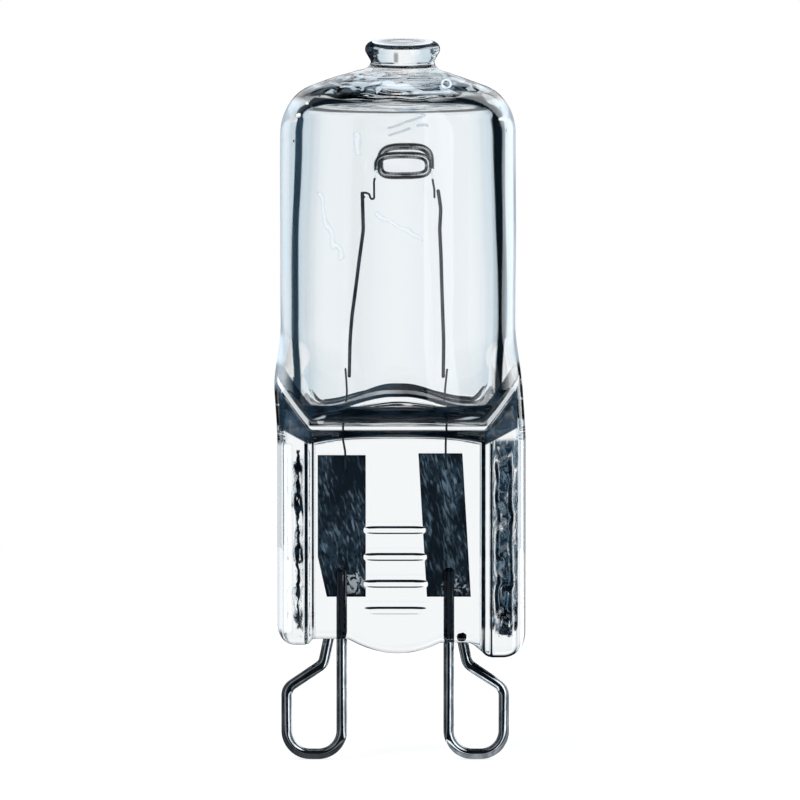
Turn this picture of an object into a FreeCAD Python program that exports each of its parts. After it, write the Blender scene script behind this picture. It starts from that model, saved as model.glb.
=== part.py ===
import FreeCAD, Part
import math
import os

V = FreeCAD.Vector

# Heights, stacked upwards from the lowest point of the contact loops, in millimetres
pin_length = 6.8
pinch_height = 11.05
floor_glass = 1.85
hollow_height = 17.15
crown_glass = 1.6
stub_height = 1.37

# Blown bulb, its centre line a little to the right of the loops' middle
bulb_shift = 0.15
tube_diameter = 13.06
tube_wall = 1.11
shoulder_wall = 1.18
shoulder_corner = 2.55
flare_height = 3.8
crown_rise = 3.65
crown_corner = 2.9
hollow_top_corner = 1.6
hollow_bottom_corner = 1.25
floor_arch_height = 0.8
floor_arch_width = 6.4

# Melted stub of the exhaust tube, which leans a little to the front
stub_shift = 0.4
stub_base_diameter = 3.6
stub_diameter = 4.15
stub_rim = 0.4
stub_dish = 0.3
stub_root = 1.2
stub_fillet = 0.45
stub_drop = 0.3
stub_lean = 6.0

# Pressed seal: a thin web between two thicker side ribs
pinch_shift = 0.34
pinch_width = 13.8
web_thickness = 3.0
rib_thickness = 4.5
rib_width_left = 1.72
rib_width_right = 1.94
rib_draft = 0.3
rib_corner = 1.2
rib_edge = 0.25
rib_foot_left = 1.0
rib_foot_right = 1.3
rib_drop_left = 0.26
rib_drop_right = 0.97
web_drop_right = 0.2
web_end_right = 3.27
lobe_left = -2.62
lobe_right = 2.53
lobe_drop = 0.8
shoulder_taper = 0.2

# Slope from the tube down to the web, as shares of its depth and its height. The press keeps
# the shoulder as deep as the tube, so only its sides swell.
slope_height = 3.75
slope_side = 1.0
slope_shape = [
    (1.0, 0.63),
    (0.93, 0.44),
    (0.54, 0.33),
    (0.24, 0.23),
    (0.165, 0.15),
    (0.08, 0.08),
    (-0.02, 0.0),
]

# Raised bars that the press leaves across the front of the web, between the foils
bar_count = 4
bar_pitch = 1.49
bar_width = 0.42
bar_length = 2.8
bar_above_web_end = 1.59

# Contact loops of bent round wire
contact_spacing = 9.0
loop_width = 3.06
loop_wire = 0.6
loop_bend = 1.0
shoulder_bend = 0.6
loop_shoulder = 3.95
loop_neck = 5.33
loop_neck_gap = 0.36
tip_gap = 0.06
tip_in_glass = 0.27
leg_lap = 1.63

# Foils sealed in the web, behind the wires that are welded to them
foil_thickness = 0.04
foil_cover = 2.27
weld_flat = 0.05
foil_width_left = 2.66
foil_top_cover_left = 0.91
foil_lean_left = 0.0
foil_cut_width = 0.5
foil_cut_height = 2.25
foil_width_right = 2.44
foil_top_cover_right = 0.81
foil_lean_right = 3.4

# Thin wires from the foils into the hollow, and the stiffer wires beside them
lead_in_wire = 0.12
lead_in_flat = 0.01
lead_in_lap = 0.9
lead_in_above_floor = 2.0
lead_in_bend = 1.2
lead_in_offset_left = 0.23
lead_in_low_left = [(-0.04, 0.22), (-0.18, 0.99)]
lead_in_high_left = (-0.08, 0.5)
lead_in_top_left = -0.13
lead_in_offset_right = 0.29
lead_in_low_right = [(0.0, 0.5)]
lead_in_high_right = (0.12, 0.95)
lead_in_top_right = 0.18
support_wire = 0.2
support_lap = 0.5
support_bend = 2.5
support_steps_left = [(0.29, -8.41), (0.67, -5.25), (0.88, -3.64), (0.86, -2.92)]
support_end_left = (0.83, -1.56)
support_steps_right = [(-0.13, -8.41), (-0.24, -5.2), (-0.33, -3.6), (-0.27, -2.43)]
support_end_right = (-0.41, -1.37)
touch = 0.04

# Filament: one fine coil bent into a turn and a half, seen end on from the front
filament_shift = 0.565
filament_above_floor = 13.4
coil_diameter = 0.42
coil_half_width = 1.3
coil_half_height = 0.85
coil_depth = 0.9
coil_drift = 0.22
coil_start = 190.0
coil_end = -370.0
coil_points = 28
tail_wire = 0.12
tail_bend = 0.12
tail_lap = 0.5
tail_drop = 1.0
kink_reach = 0.36
kink_rise = 0.25

# Sizes that follow from the ones above
web_bottom = pin_length
shoulder_z = web_bottom + pinch_height
floor_z = shoulder_z + floor_glass
ceiling_z = floor_z + hollow_height
crown_z = ceiling_z + crown_glass
tube_radius = tube_diameter / 2
shoulder_radius = pinch_width / 2
pinch_left = pinch_shift - pinch_width / 2
pinch_right = pinch_shift + pinch_width / 2
wire_radius = loop_wire / 2
foil_front = wire_radius - weld_flat
foil_bottom = web_bottom + foil_cover
inner_plane = foil_front - lead_in_wire / 2 + lead_in_flat
filament_z = floor_z + filament_above_floor


def corner_arc(before, corner, after, radius):
    """The start, middle and end of the arc of this radius that rounds a corner of a route."""
    back = (before - corner).normalize()
    ahead = (after - corner).normalize()
    half_turn = (math.pi - back.getAngle(ahead)) / 2
    reach = radius * math.tan(half_turn)
    middle = (back + ahead).normalize() * (radius / math.cos(half_turn) - radius)
    return corner + back * reach, corner + middle, corner + ahead * reach


def rounded_edges(points, radii, closed=False):
    """Straight runs through the points, with an arc at each point whose radius isn't zero."""
    count = len(points)
    stops = []
    for i, (point, radius) in enumerate(zip(points, radii)):
        is_end = not closed and i in (0, count - 1)
        if is_end or radius == 0:
            stops.append((point, None, point))
        else:
            stops.append(corner_arc(points[i - 1], point, points[(i + 1) % count], radius))
    edges = []
    for i, (start, middle, end) in enumerate(stops):
        if middle is not None:
            edges.append(Part.Arc(start, middle, end).toShape())
        is_last = i == count - 1
        if is_last and not closed:
            break
        following = stops[(i + 1) % count][0]
        if (following - end).Length > 1e-6:
            edges.append(Part.LineSegment(end, following).toShape())
    return edges


def swept_round(path, start, direction, diameter):
    """A round rod of this diameter along a path that starts at a point in a direction."""
    circle = Part.makeCircle(diameter / 2, start, direction)
    return path.makePipeShell([Part.Wire([circle])], True, False)


def bent_wire(points, diameter, radius):
    """A round wire along a route, with the same bend radius at each of its inner points."""
    path = Part.Wire(rounded_edges(points, [radius] * len(points)))
    return swept_round(path, points[0], points[1] - points[0], diameter)


def on_plane(places, y):
    """Points in space for places given as x and z, all at one depth y."""
    return [V(x, y, z) for x, z in places]


def turned_solid(edges, axis_x):
    """The solid that a closed profile in the plane y = 0 sweeps about an upright axis."""
    face = Part.Face(Part.Wire(edges))
    return face.revolve(V(axis_x, 0, 0), V(0, 0, 1), 360)


def line(start, end):
    """A straight edge."""
    return Part.LineSegment(start, end).toShape()


def smooth_flare(bottom, top):
    """An upright S-curve between two points, upright at both ends."""
    curve = Part.BSplineCurve()
    up = V(0, 0, 1)
    curve.interpolate([bottom, top], InitialTangent=up, FinalTangent=up)
    return curve.toShape()


def smooth_run(points):
    """One smooth curve through the points."""
    curve = Part.BSplineCurve()
    curve.interpolate(points)
    return curve.toShape()


def press_room():
    """What the press leaves of the bulb's depth, as a prism across the whole bulb."""
    half_web = web_thickness / 2
    depth = tube_radius - half_web
    start_x = bulb_shift - shoulder_radius - slope_side
    front = [
        V(start_x, -half_web - share * depth, shoulder_z + rise * slope_height)
        for share, rise in slope_shape
    ]
    back = [V(start_x, -point.y, point.z) for point in reversed(front)]
    front_top = V(start_x, front[0].y, crown_z + slope_side)
    back_top = V(start_x, back[-1].y, crown_z + slope_side)
    edges = [
        smooth_run(front),
        line(front[-1], back[0]),
        smooth_run(back),
        line(back[-1], back_top),
        line(back_top, front_top),
        line(front_top, front[0]),
    ]
    face = Part.Face(Part.Wire(edges))
    return face.extrude(V(2 * (shoulder_radius + slope_side), 0, 0))


def bulb_blank():
    """The bulb without its hollow: pressed shoulder, slight flare, straight tube and low crown."""
    axis = bulb_shift
    flat_end = V(axis + shoulder_radius - shoulder_corner, 0, shoulder_z)
    corner_side = V(axis + shoulder_radius, 0, shoulder_z + shoulder_corner)
    slant = math.sqrt(0.5)
    corner_middle = V(
        flat_end.x + shoulder_corner * slant, 0, corner_side.z - shoulder_corner * slant
    )
    tube_start = V(axis + tube_radius, 0, corner_side.z + flare_height)
    tube_end = V(axis + tube_radius, 0, crown_z - crown_rise)
    across = tube_radius - crown_corner
    crown_radius = (across**2 + crown_rise**2 - crown_corner**2) / (2 * (crown_rise - crown_corner))
    crown_centre = V(axis, 0, crown_z - crown_radius)
    corner_centre = V(axis + across, 0, tube_end.z)
    outwards = (corner_centre - crown_centre).normalize()
    meet = crown_centre + outwards * crown_radius
    half_way = (outwards + V(1, 0, 0)).normalize()
    crown_middle = crown_centre + (outwards + V(0, 0, 1)).normalize() * crown_radius
    top = V(axis, 0, crown_z)
    bottom = V(axis, 0, shoulder_z)
    edges = [
        line(bottom, flat_end),
        Part.Arc(flat_end, corner_middle, corner_side).toShape(),
        smooth_flare(corner_side, tube_start),
        line(tube_start, tube_end),
        Part.Arc(tube_end, corner_centre + half_way * crown_corner, meet).toShape(),
        Part.Arc(meet, crown_middle, top).toShape(),
        line(top, bottom),
    ]
    return turned_solid(edges, axis).common(press_room())


def hollow():
    """The gas space: a rounded cylinder, a little wider below, with a low arch in its floor."""
    axis = bulb_shift
    top_radius = tube_radius - tube_wall
    bottom_radius = shoulder_radius - shoulder_wall
    half_arch = floor_arch_width / 2
    arch_radius = (half_arch**2 + floor_arch_height**2) / (2 * floor_arch_height)
    half_way = half_arch / 2
    drop = arch_radius - math.sqrt(arch_radius**2 - half_way**2)
    arch_top = V(axis, 0, floor_z + floor_arch_height)
    arch_end = V(axis + half_arch, 0, floor_z)
    ceiling = V(axis, 0, ceiling_z)
    outline = [
        arch_end,
        V(axis + bottom_radius, 0, floor_z),
        V(axis + top_radius, 0, ceiling_z),
        ceiling,
    ]
    edges = rounded_edges(outline, [0, hollow_bottom_corner, hollow_top_corner, 0])
    edges.append(line(ceiling, arch_top))
    arch_middle = V(axis + half_way, 0, arch_top.z - drop)
    edges.append(Part.Arc(arch_top, arch_middle, arch_end).toShape())
    return turned_solid(edges, axis)


def exhaust_stub():
    """The melted end of the exhaust tube: widest near its rounded rim, its top a shallow dish."""
    axis = stub_shift
    foot = V(axis + stub_base_diameter / 2 + stub_fillet, 0, crown_z - stub_root)
    fillet_centre = V(foot.x, 0, crown_z - stub_drop + stub_fillet)
    fillet_start = V(foot.x, 0, crown_z - stub_drop)
    neck = V(foot.x - stub_fillet, 0, fillet_centre.z)
    top_z = crown_z + stub_height
    widest = V(axis + stub_diameter / 2, 0, top_z - stub_rim)
    rim = V(widest.x - stub_rim, 0, top_z)
    slant = math.sqrt(0.5)
    fillet_middle = fillet_centre + V(-stub_fillet * slant, 0, -stub_fillet * slant)
    rim_middle = V(rim.x + stub_rim * slant, 0, widest.z + stub_rim * slant)
    dish = V(axis, 0, top_z - stub_dish)
    reach = rim.x - axis
    dish_radius = (reach**2 + stub_dish**2) / (2 * stub_dish)
    rise = dish_radius - math.sqrt(dish_radius**2 - (reach / 2) ** 2)
    dish_middle = V(axis + reach / 2, 0, dish.z + rise)
    root = V(axis, 0, foot.z)
    edges = [
        line(root, foot),
        line(foot, fillet_start),
        Part.Arc(fillet_start, fillet_middle, neck).toShape(),
        line(neck, widest),
        Part.Arc(widest, rim_middle, rim).toShape(),
        Part.Arc(rim, dish_middle, dish).toShape(),
        line(dish, root),
    ]
    stub = turned_solid(edges, axis)
    stub.rotate(V(axis, 0, crown_z), V(1, 0, 0), stub_lean)
    return stub


def pinch_section():
    """The seal's section seen from above, as a prism over its whole height: web and two ribs."""
    half_rib = rib_thickness / 2
    half_web = web_thickness / 2
    left_rib = pinch_left + rib_width_left
    right_rib = pinch_right - rib_width_right
    front = [
        (pinch_left, -half_rib, rib_corner),
        (left_rib, -half_rib, rib_edge),
        (left_rib + rib_draft, -half_web, rib_edge),
        (right_rib - rib_draft, -half_web, rib_edge),
        (right_rib, -half_rib, rib_edge),
        (pinch_right, -half_rib, rib_corner),
    ]
    back = [(x, -y, radius) for x, y, radius in reversed(front)]
    corners = front + back
    points = [V(x, y, 0) for x, y, radius in corners]
    radii = [radius for x, y, radius in corners]
    face = Part.Face(Part.Wire(rounded_edges(points, radii, closed=True)))
    return face.extrude(V(0, 0, shoulder_z + shoulder_corner))


def pinch_outline():
    """The seal's outline seen from the front, as a prism: feet of the ribs and the lower lobe."""
    top = shoulder_z + shoulder_corner
    left_foot = web_bottom - rib_drop_left
    right_foot = web_bottom - rib_drop_right
    right_web = web_bottom - web_drop_right
    depth = rib_thickness
    left_run = on_plane(
        [
            (lobe_left, web_bottom),
            (pinch_left + rib_width_left + rib_draft, web_bottom),
            (pinch_left + rib_width_left, left_foot),
            (pinch_left, left_foot),
            (pinch_left, top),
            (pinch_right - shoulder_taper, top),
            (pinch_right, shoulder_z),
            (pinch_right, right_foot),
            (pinch_right - rib_width_right, right_foot),
            (pinch_right - web_end_right, right_web),
            (lobe_right, right_web),
        ],
        -depth,
    )
    radii = [0, 0, 0, rib_foot_left, 0, 0, 0, rib_foot_right, 0, 0, 0]
    edges = rounded_edges(left_run, radii)
    lobe_middle = V((lobe_left + lobe_right) / 2, -depth, web_bottom - lobe_drop)
    edges.append(Part.Arc(left_run[-1], lobe_middle, left_run[0]).toShape())
    face = Part.Face(Part.Wire(edges))
    return face.extrude(V(0, 2 * depth, 0))


def press_bars():
    """Half-round bars across the front face of the web, in a ladder between the foils."""
    bars = []
    radius = bar_width / 2
    for i in range(bar_count):
        z = web_bottom + bar_above_web_end + i * bar_pitch
        left = V(-bar_length / 2, -web_thickness / 2, z)
        right = V(bar_length / 2, -web_thickness / 2, z)
        bars.append(Part.makeCylinder(radius, bar_length, left, V(1, 0, 0)))
        bars.append(Part.makeSphere(radius, left))
        bars.append(Part.makeSphere(radius, right))
    return bars


def leg_x(side):
    """Where a loop's inner leg stands: side is -1 on the left and 1 on the right."""
    return side * (contact_spacing - loop_width) / 2


def foil_top(side):
    """The middle of a foil's upper edge, as x and z."""
    lean = foil_lean_left if side < 0 else foil_lean_right
    cover = foil_top_cover_left if side < 0 else foil_top_cover_right
    top_z = shoulder_z - cover
    return leg_x(side) - side * (top_z - foil_bottom) * math.tan(math.radians(lean)), top_z


def foil_slab(side, thickness):
    """A foil's outline as a slab that starts at the foil's front face."""
    width = foil_width_left if side < 0 else foil_width_right
    lean = foil_lean_left if side < 0 else foil_lean_right
    length = (foil_top(side)[1] - foil_bottom) / math.cos(math.radians(lean))
    half = width / 2
    corners = [(half, 0), (half, length), (-half, length)]
    if side < 0:
        corners += [(-half, foil_cut_height), (foil_cut_width - half, 0)]
    else:
        corners += [(-half, 0)]
    base_x = leg_x(side)
    points = on_plane([(base_x + x, foil_bottom + z) for x, z in corners], foil_front)
    slab = Part.Face(Part.makePolygon(points + points[:1])).extrude(V(0, thickness, 0))
    slab.rotate(V(base_x, foil_front, foil_bottom), V(0, 1, 0), -side * lean)
    return slab


def contact_loop(side):
    """A loop: up its leg into the glass, round the bottom, and its tip back into the glass."""
    inner = leg_x(side)
    outer = inner + side * loop_width
    tip_x = inner + side * (loop_wire + tip_gap)
    neck_x = tip_x + side * loop_neck_gap
    bottom = wire_radius
    places = [
        (inner, foil_bottom + leg_lap),
        (inner, bottom),
        (outer, bottom),
        (outer, loop_shoulder),
        (neck_x, loop_neck),
        (tip_x, web_bottom + tip_in_glass),
    ]
    radii = [0, loop_bend, loop_bend, shoulder_bend, shoulder_bend, 0]
    points = on_plane(places, 0)
    path = Part.Wire(rounded_edges(points, radii))
    loop = swept_round(path, points[0], points[1] - points[0], loop_wire)
    return loop.cut(foil_slab(side, loop_wire))


def lead_in_places(side):
    """The route of a lead-in wire: its lap on the foil, the glass, and its end in the hollow."""
    top_x, top_z = foil_top(side)
    offset = lead_in_offset_left if side < 0 else lead_in_offset_right
    low = lead_in_low_left if side < 0 else lead_in_low_right
    high_x, above_floor = lead_in_high_left if side < 0 else lead_in_high_right
    end = lead_in_top_left if side < 0 else lead_in_top_right
    start_x = top_x + offset
    places = [(start_x, top_z - lead_in_lap)]
    places += [(start_x + x, top_z + z) for x, z in low]
    places.append((start_x + high_x, floor_z + above_floor))
    places.append((start_x + end, floor_z + lead_in_above_floor))
    return places


def lead_in(side):
    """The thin wire between a foil and the support wire above it."""
    points = on_plane(lead_in_places(side), inner_plane)
    wire = bent_wire(points, lead_in_wire, lead_in_bend)
    return wire.cut(foil_slab(side, loop_wire))


def support_places(side):
    """The route of a support wire: from its lap beside the lead-in up to the filament's tail."""
    lead_x, lead_z = lead_in_places(side)[-1]
    beside = (lead_in_wire + support_wire) / 2 + touch
    start_x = lead_x - side * beside
    steps = support_steps_left if side < 0 else support_steps_right
    end = support_end_left if side < 0 else support_end_right
    places = [(start_x, lead_z - support_lap)]
    places += [(start_x + x, filament_z + z) for x, z in steps + [end]]
    return places


def support(side):
    """The stiffer wire that holds the filament."""
    return bent_wire(on_plane(support_places(side), inner_plane), support_wire, support_bend)


def coil_place(share):
    """A point of the filament's middle line, share going from 0 at the left tail to 1."""
    angle = math.radians(coil_start + (coil_end - coil_start) * share)
    along = share - 0.5
    x = filament_shift + coil_half_width * math.cos(angle) + coil_drift * along
    z = filament_z + coil_half_height * math.sin(angle) + coil_drift * along
    return V(x, inner_plane + coil_depth * along, z)


def filament():
    """The coil's outer shape in a turn and a half, with a tail down to each support wire."""
    curve = Part.BSplineCurve()
    curve.interpolate([coil_place(i / coil_points) for i in range(coil_points + 1)])
    start = coil_place(0)
    end = coil_place(1)
    path = Part.Wire([curve.toShape()])
    coil = swept_round(path, start, curve.tangent(curve.FirstParameter)[0], coil_diameter)
    beside = (tail_wire + support_wire) / 2 + touch
    left_x, left_z = support_places(-1)[-1]
    right_x, right_z = support_places(1)[-1]
    hang_x = start.x - coil_diameter / 2
    left_tail = [
        start + V(0, 0, coil_diameter / 2),
        V(hang_x, inner_plane, filament_z - tail_drop),
        V(hang_x, inner_plane, left_z - tail_lap),
        V(left_x + kink_reach, inner_plane, left_z - tail_lap + kink_rise),
        V(left_x + beside, inner_plane, left_z - tail_lap),
    ]
    right_tail = [
        end + V(0, 0, coil_diameter / 2),
        V(end.x + tail_wire, inner_plane, filament_z - tail_drop),
        V(right_x - beside, inner_plane, right_z),
        V(right_x - beside, inner_plane, right_z - tail_lap),
    ]
    tails = [bent_wire(points, tail_wire, tail_bend) for points in (left_tail, right_tail)]
    return coil.fuse(tails)


def envelope(sealed):
    """The one piece of glass: bulb, stub and seal, hollow inside and closed round the metal."""
    seal = pinch_section().common(pinch_outline())
    glass = bulb_blank().fuse([seal, exhaust_stub()] + press_bars())
    return glass.cut([hollow()] + sealed).removeSplitter()


def build():
    """Every piece by its name."""
    pieces = {}
    for side, name in ((-1, "left"), (1, "right")):
        pieces["contact_loop_" + name] = contact_loop(side)
        pieces["foil_" + name] = foil_slab(side, foil_thickness)
        pieces["lead_in_" + name] = lead_in(side)
    sealed = list(pieces.values())
    pieces["envelope"] = envelope(sealed)
    pieces["support_wire_left"] = support(-1)
    pieces["support_wire_right"] = support(1)
    pieces["filament"] = filament()
    return pieces


def solid_of(shape, name):
    """The single solid of a piece."""
    solids = shape.Solids
    if len(solids) != 1 or not solids[0].isValid():
        print("check", name, "solids", len(solids), "valid", shape.isValid())
    return solids[0] if len(solids) == 1 else Part.makeCompound(solids)


os.makedirs("parts", exist_ok=True)
for name, shape in build().items():
    solid = solid_of(shape, name)
    solid.exportStep("parts/" + name + ".step")
    box = solid.BoundBox
    print(name, round(solid.Volume, 3), [round(v, 2) for v in (box.XMin, box.XMax, box.YMin,
          box.YMax, box.ZMin, box.ZMax)])
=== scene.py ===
"""A clear halogen capsule bulb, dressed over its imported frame.

The quartz envelope is one closed mesh with an outer and an inner skin. Inside it stand two foils,
the wires that lead from them, and the filament, which is a real fine coil. Sizes in the classes
are in millimetres and become metres when a mesh is made.
"""

from __future__ import annotations

import logging
import math
from dataclasses import dataclass, field
from enum import Enum
from typing import Iterable, Sequence, Union

import bmesh
import bpy
import numpy as np
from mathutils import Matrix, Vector

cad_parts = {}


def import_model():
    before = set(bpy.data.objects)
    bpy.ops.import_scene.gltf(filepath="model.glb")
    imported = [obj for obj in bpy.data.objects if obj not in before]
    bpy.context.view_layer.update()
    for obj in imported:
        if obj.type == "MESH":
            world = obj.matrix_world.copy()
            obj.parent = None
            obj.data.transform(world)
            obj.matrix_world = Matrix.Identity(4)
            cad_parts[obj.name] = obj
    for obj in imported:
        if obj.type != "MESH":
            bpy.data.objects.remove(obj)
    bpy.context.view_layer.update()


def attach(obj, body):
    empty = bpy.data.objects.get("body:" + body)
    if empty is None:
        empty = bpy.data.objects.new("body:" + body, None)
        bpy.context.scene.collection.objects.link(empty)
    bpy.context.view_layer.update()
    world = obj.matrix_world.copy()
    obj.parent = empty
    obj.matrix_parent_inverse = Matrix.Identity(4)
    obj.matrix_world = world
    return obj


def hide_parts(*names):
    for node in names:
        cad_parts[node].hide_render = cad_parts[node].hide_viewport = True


log = logging.getLogger("halogen_bulb")

MM = 0.001
PER_MM = 1000.0
DEGREES = 180.0 / math.pi

Place = tuple[float, float]
Span = tuple[float, float]
Stroke = tuple[float, float, float, float]
Colour = tuple[float, float, float]


# What the shape of the glass and its finish share, in millimetres


BULB_X = 0.15
STUB_X = 0.4
FACET_X = (4.75, 6.65)
FACET_LIFT = 2.5
FACET_CURVE = 1.15
FACET_FOOT = 17.85
FACET_FADE = 0.9
SLOPE_LAG = 0.1
WEB_DIP = 0.35


# Node trees in short calls


@dataclass(frozen=True)
class Value:
    """An output socket that can be used in sums, each of which adds a Math node."""

    tree: "Tree"
    socket: bpy.types.NodeSocket

    def math(self, operation: str, *others: "Number") -> "Value":
        """The result of a Math operation on this value and the others."""
        inputs = dict(enumerate((self, *others)))
        return self.tree.value("ShaderNodeMath", {"operation": operation}, inputs)

    def after(self, operation: str, first: "Number") -> "Value":
        """The result of a Math operation that takes another value first."""
        return self.tree.value("ShaderNodeMath", {"operation": operation}, {0: first, 1: self})

    def __add__(self, other: "Number") -> "Value":
        """This value plus another."""
        return self.math("ADD", other)

    def __radd__(self, other: "Number") -> "Value":
        """Another value plus this one."""
        return self.math("ADD", other)

    def __sub__(self, other: "Number") -> "Value":
        """This value less another."""
        return self.math("SUBTRACT", other)

    def __rsub__(self, other: "Number") -> "Value":
        """Another value less this one."""
        return self.after("SUBTRACT", other)

    def __mul__(self, other: "Number") -> "Value":
        """This value times another."""
        return self.math("MULTIPLY", other)

    def __rmul__(self, other: "Number") -> "Value":
        """Another value times this one."""
        return self.math("MULTIPLY", other)

    def __truediv__(self, other: "Number") -> "Value":
        """This value divided by another."""
        return self.math("DIVIDE", other)

    def __pow__(self, other: "Number") -> "Value":
        """This value to a power."""
        return self.math("POWER", other)

    def __neg__(self) -> "Value":
        """This value with its sign turned."""
        return self.math("MULTIPLY", -1.0)

    def __abs__(self) -> "Value":
        """The size of this value."""
        return self.math("ABSOLUTE")

    def root(self) -> "Value":
        """The square root, or zero below zero."""
        return self.math("MAXIMUM", 0.0).math("SQRT")

    def hypot(self, other: "Value") -> "Value":
        """The length of a line whose two parts are this value and another."""
        return (self * self + other * other).root()

    def rise(self, start: float, end: float) -> "Value":
        """A smooth step from 0 to 1 between two values.

        Args:
            start: where the step is still 0.
            end: where it has reached 1, which may lie below start.

        Returns:
            The height of the step.
        """
        settings = {"interpolation_type": "SMOOTHSTEP"}
        if end >= start:
            return self.tree.value("ShaderNodeMapRange", settings, {0: self, 1: start, 2: end})
        falling = {0: self, 1: end, 2: start, 3: 1.0, 4: 0.0}
        return self.tree.value("ShaderNodeMapRange", settings, falling)

    def band(self, low: float, high: float, edge: float) -> "Value":
        """1 between two values and 0 outside them, with soft edges of this width."""
        return self.rise(low - edge, low) * self.rise(high + edge, high)


Number = Union[Value, float]


class Tree:
    """A node tree that is filled by short calls."""

    def __init__(self, node_tree: bpy.types.NodeTree) -> None:
        """Keeps the tree's nodes and links."""
        self.nodes = node_tree.nodes
        self.links = node_tree.links

    def node(self, kind: str, settings: dict | None = None, inputs: dict | None = None):
        """Adds a node.

        Args:
            kind: the node's type.
            settings: its own options, which are set first.
            inputs: values or links for its sockets, by name or number.

        Returns:
            The new node.
        """
        node = self.nodes.new(kind)
        for name, setting in (settings or {}).items():
            setattr(node, name, setting)
        for key, entry in (inputs or {}).items():
            if isinstance(entry, Value):
                self.links.new(entry.socket, node.inputs[key])
            else:
                node.inputs[key].default_value = entry
        return node

    def value(
        self,
        kind: str,
        settings: dict | None = None,
        inputs: dict | None = None,
        output: int | str = 0,
    ) -> Value:
        """Adds a node as node does, and gives one of its outputs."""
        return Value(self, self.node(kind, settings, inputs).outputs[output])

    def mix(self, factor: Number, first: Value | Colour, second: Value | Colour) -> Value:
        """One colour turning into another as the factor goes from 0 to 1."""
        inputs = {0: factor, 6: with_alpha(first), 7: with_alpha(second)}
        return self.value("ShaderNodeMix", {"data_type": "RGBA"}, inputs, 2)

    def vector(self, x: Number, y: Number, z: Number) -> Value:
        """A vector from its three parts."""
        return self.value("ShaderNodeCombineXYZ", None, {0: x, 1: y, 2: z})

    def parts(self, vector: Value) -> tuple[Value, Value, Value]:
        """The three parts of a vector."""
        node = self.node("ShaderNodeSeparateXYZ", None, {0: vector})
        return tuple(Value(self, output) for output in node.outputs)

    def noise(self, place: Value, scale: float, detail: float = 2.0, twist: float = 0.0) -> Value:
        """Smooth noise from 0 to 1.

        Args:
            place: where it is read.
            scale: how many waves there are in one unit of place.
            detail: how many finer layers it has.
            twist: how far it is distorted.

        Returns:
            The noise's value.
        """
        inputs = {"Vector": place, "Scale": scale, "Detail": detail, "Distortion": twist}
        return self.value("ShaderNodeTexNoise", None, inputs)

    def place(self, stretch: tuple[float, float, float] = (1.0, 1.0, 1.0)) -> Value:
        """The point on the object in millimetres, squeezed along each axis by stretch."""
        point = self.value("ShaderNodeTexCoord", None, None, "Object")
        scale = tuple(PER_MM * part for part in stretch)
        return self.value("ShaderNodeMapping", None, {"Vector": point, "Scale": scale})

    def geometry(self, output: str) -> Value:
        """What the Geometry node says of the shaded point."""
        return self.value("ShaderNodeNewGeometry", None, None, output)

    def grazing(self) -> Value:
        """0 where a surface is seen square on, and 1 where it is seen edge on."""
        return self.value("ShaderNodeLayerWeight", None, {"Blend": 0.5}, "Facing")

    def bump(self, height: Value) -> Value:
        """The surface's normal, with small heights in millimetres laid over it."""
        return self.value("ShaderNodeBump", None, {"Distance": MM, "Height": height})

    def rays(self) -> tuple[Value, Value, Value]:
        """Whether a ray comes from the camera, through glass or off a shiny surface."""
        path = self.node("ShaderNodeLightPath")
        kinds = ("Is Camera Ray", "Is Transmission Ray", "Is Glossy Ray")
        return tuple(Value(self, path.outputs[kind]) for kind in kinds)

    def vectors(self, operation: str, inputs: dict) -> Value:
        """The result of a Vector Math operation."""
        return self.value("ShaderNodeVectorMath", {"operation": operation}, inputs)

    def moved(self, geometry: Value, **shift: Value) -> Value:
        """Geometry whose points get a new Position or are moved by an Offset."""
        return self.value("GeometryNodeSetPosition", None, {"Geometry": geometry, **shift})

    def resampled(self, curve: Value, kind: str, size: Number) -> Value:
        """A curve cut into even pieces by their Count or their Length."""
        inputs = {"Curve": curve, kind: size}
        return self.value("GeometryNodeResampleCurve", {"mode": kind.upper()}, inputs)

    def tube(self, curve: Value, sides: int, radius: Value, scale: Number = 1.0) -> Value:
        """A closed round tube along a curve, thinner where scale is below 1."""
        inputs = {"Resolution": sides, "Radius": radius}
        ring = self.value("GeometryNodeCurvePrimitiveCircle", None, inputs)
        inputs = {"Curve": curve, "Profile Curve": ring, "Scale": scale, "Fill Caps": True}
        return self.value("GeometryNodeCurveToMesh", None, inputs)


def with_alpha(colour: Value | Colour) -> Value | tuple[float, float, float, float]:
    """A colour as a socket takes it."""
    return colour if isinstance(colour, Value) else (*colour, 1.0)


def new_material(name: str) -> tuple[bpy.types.Material, Tree, bpy.types.Node]:
    """A material with its tree and its Principled shader.

    Args:
        name: the material's name.

    Returns:
        The material, its tree and its shader node.
    """
    material = bpy.data.materials.new(name)
    material.use_nodes = True
    shader = material.node_tree.nodes["Principled BSDF"]
    return material, Tree(material.node_tree), shader


def connect(tree: Tree, shader: bpy.types.Node, **values: Value) -> None:
    """Links values to a shader's sockets, named with an underscore for each space."""
    for name, value in values.items():
        tree.links.new(value.socket, shader.inputs[name.replace("_", " ")])


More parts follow.
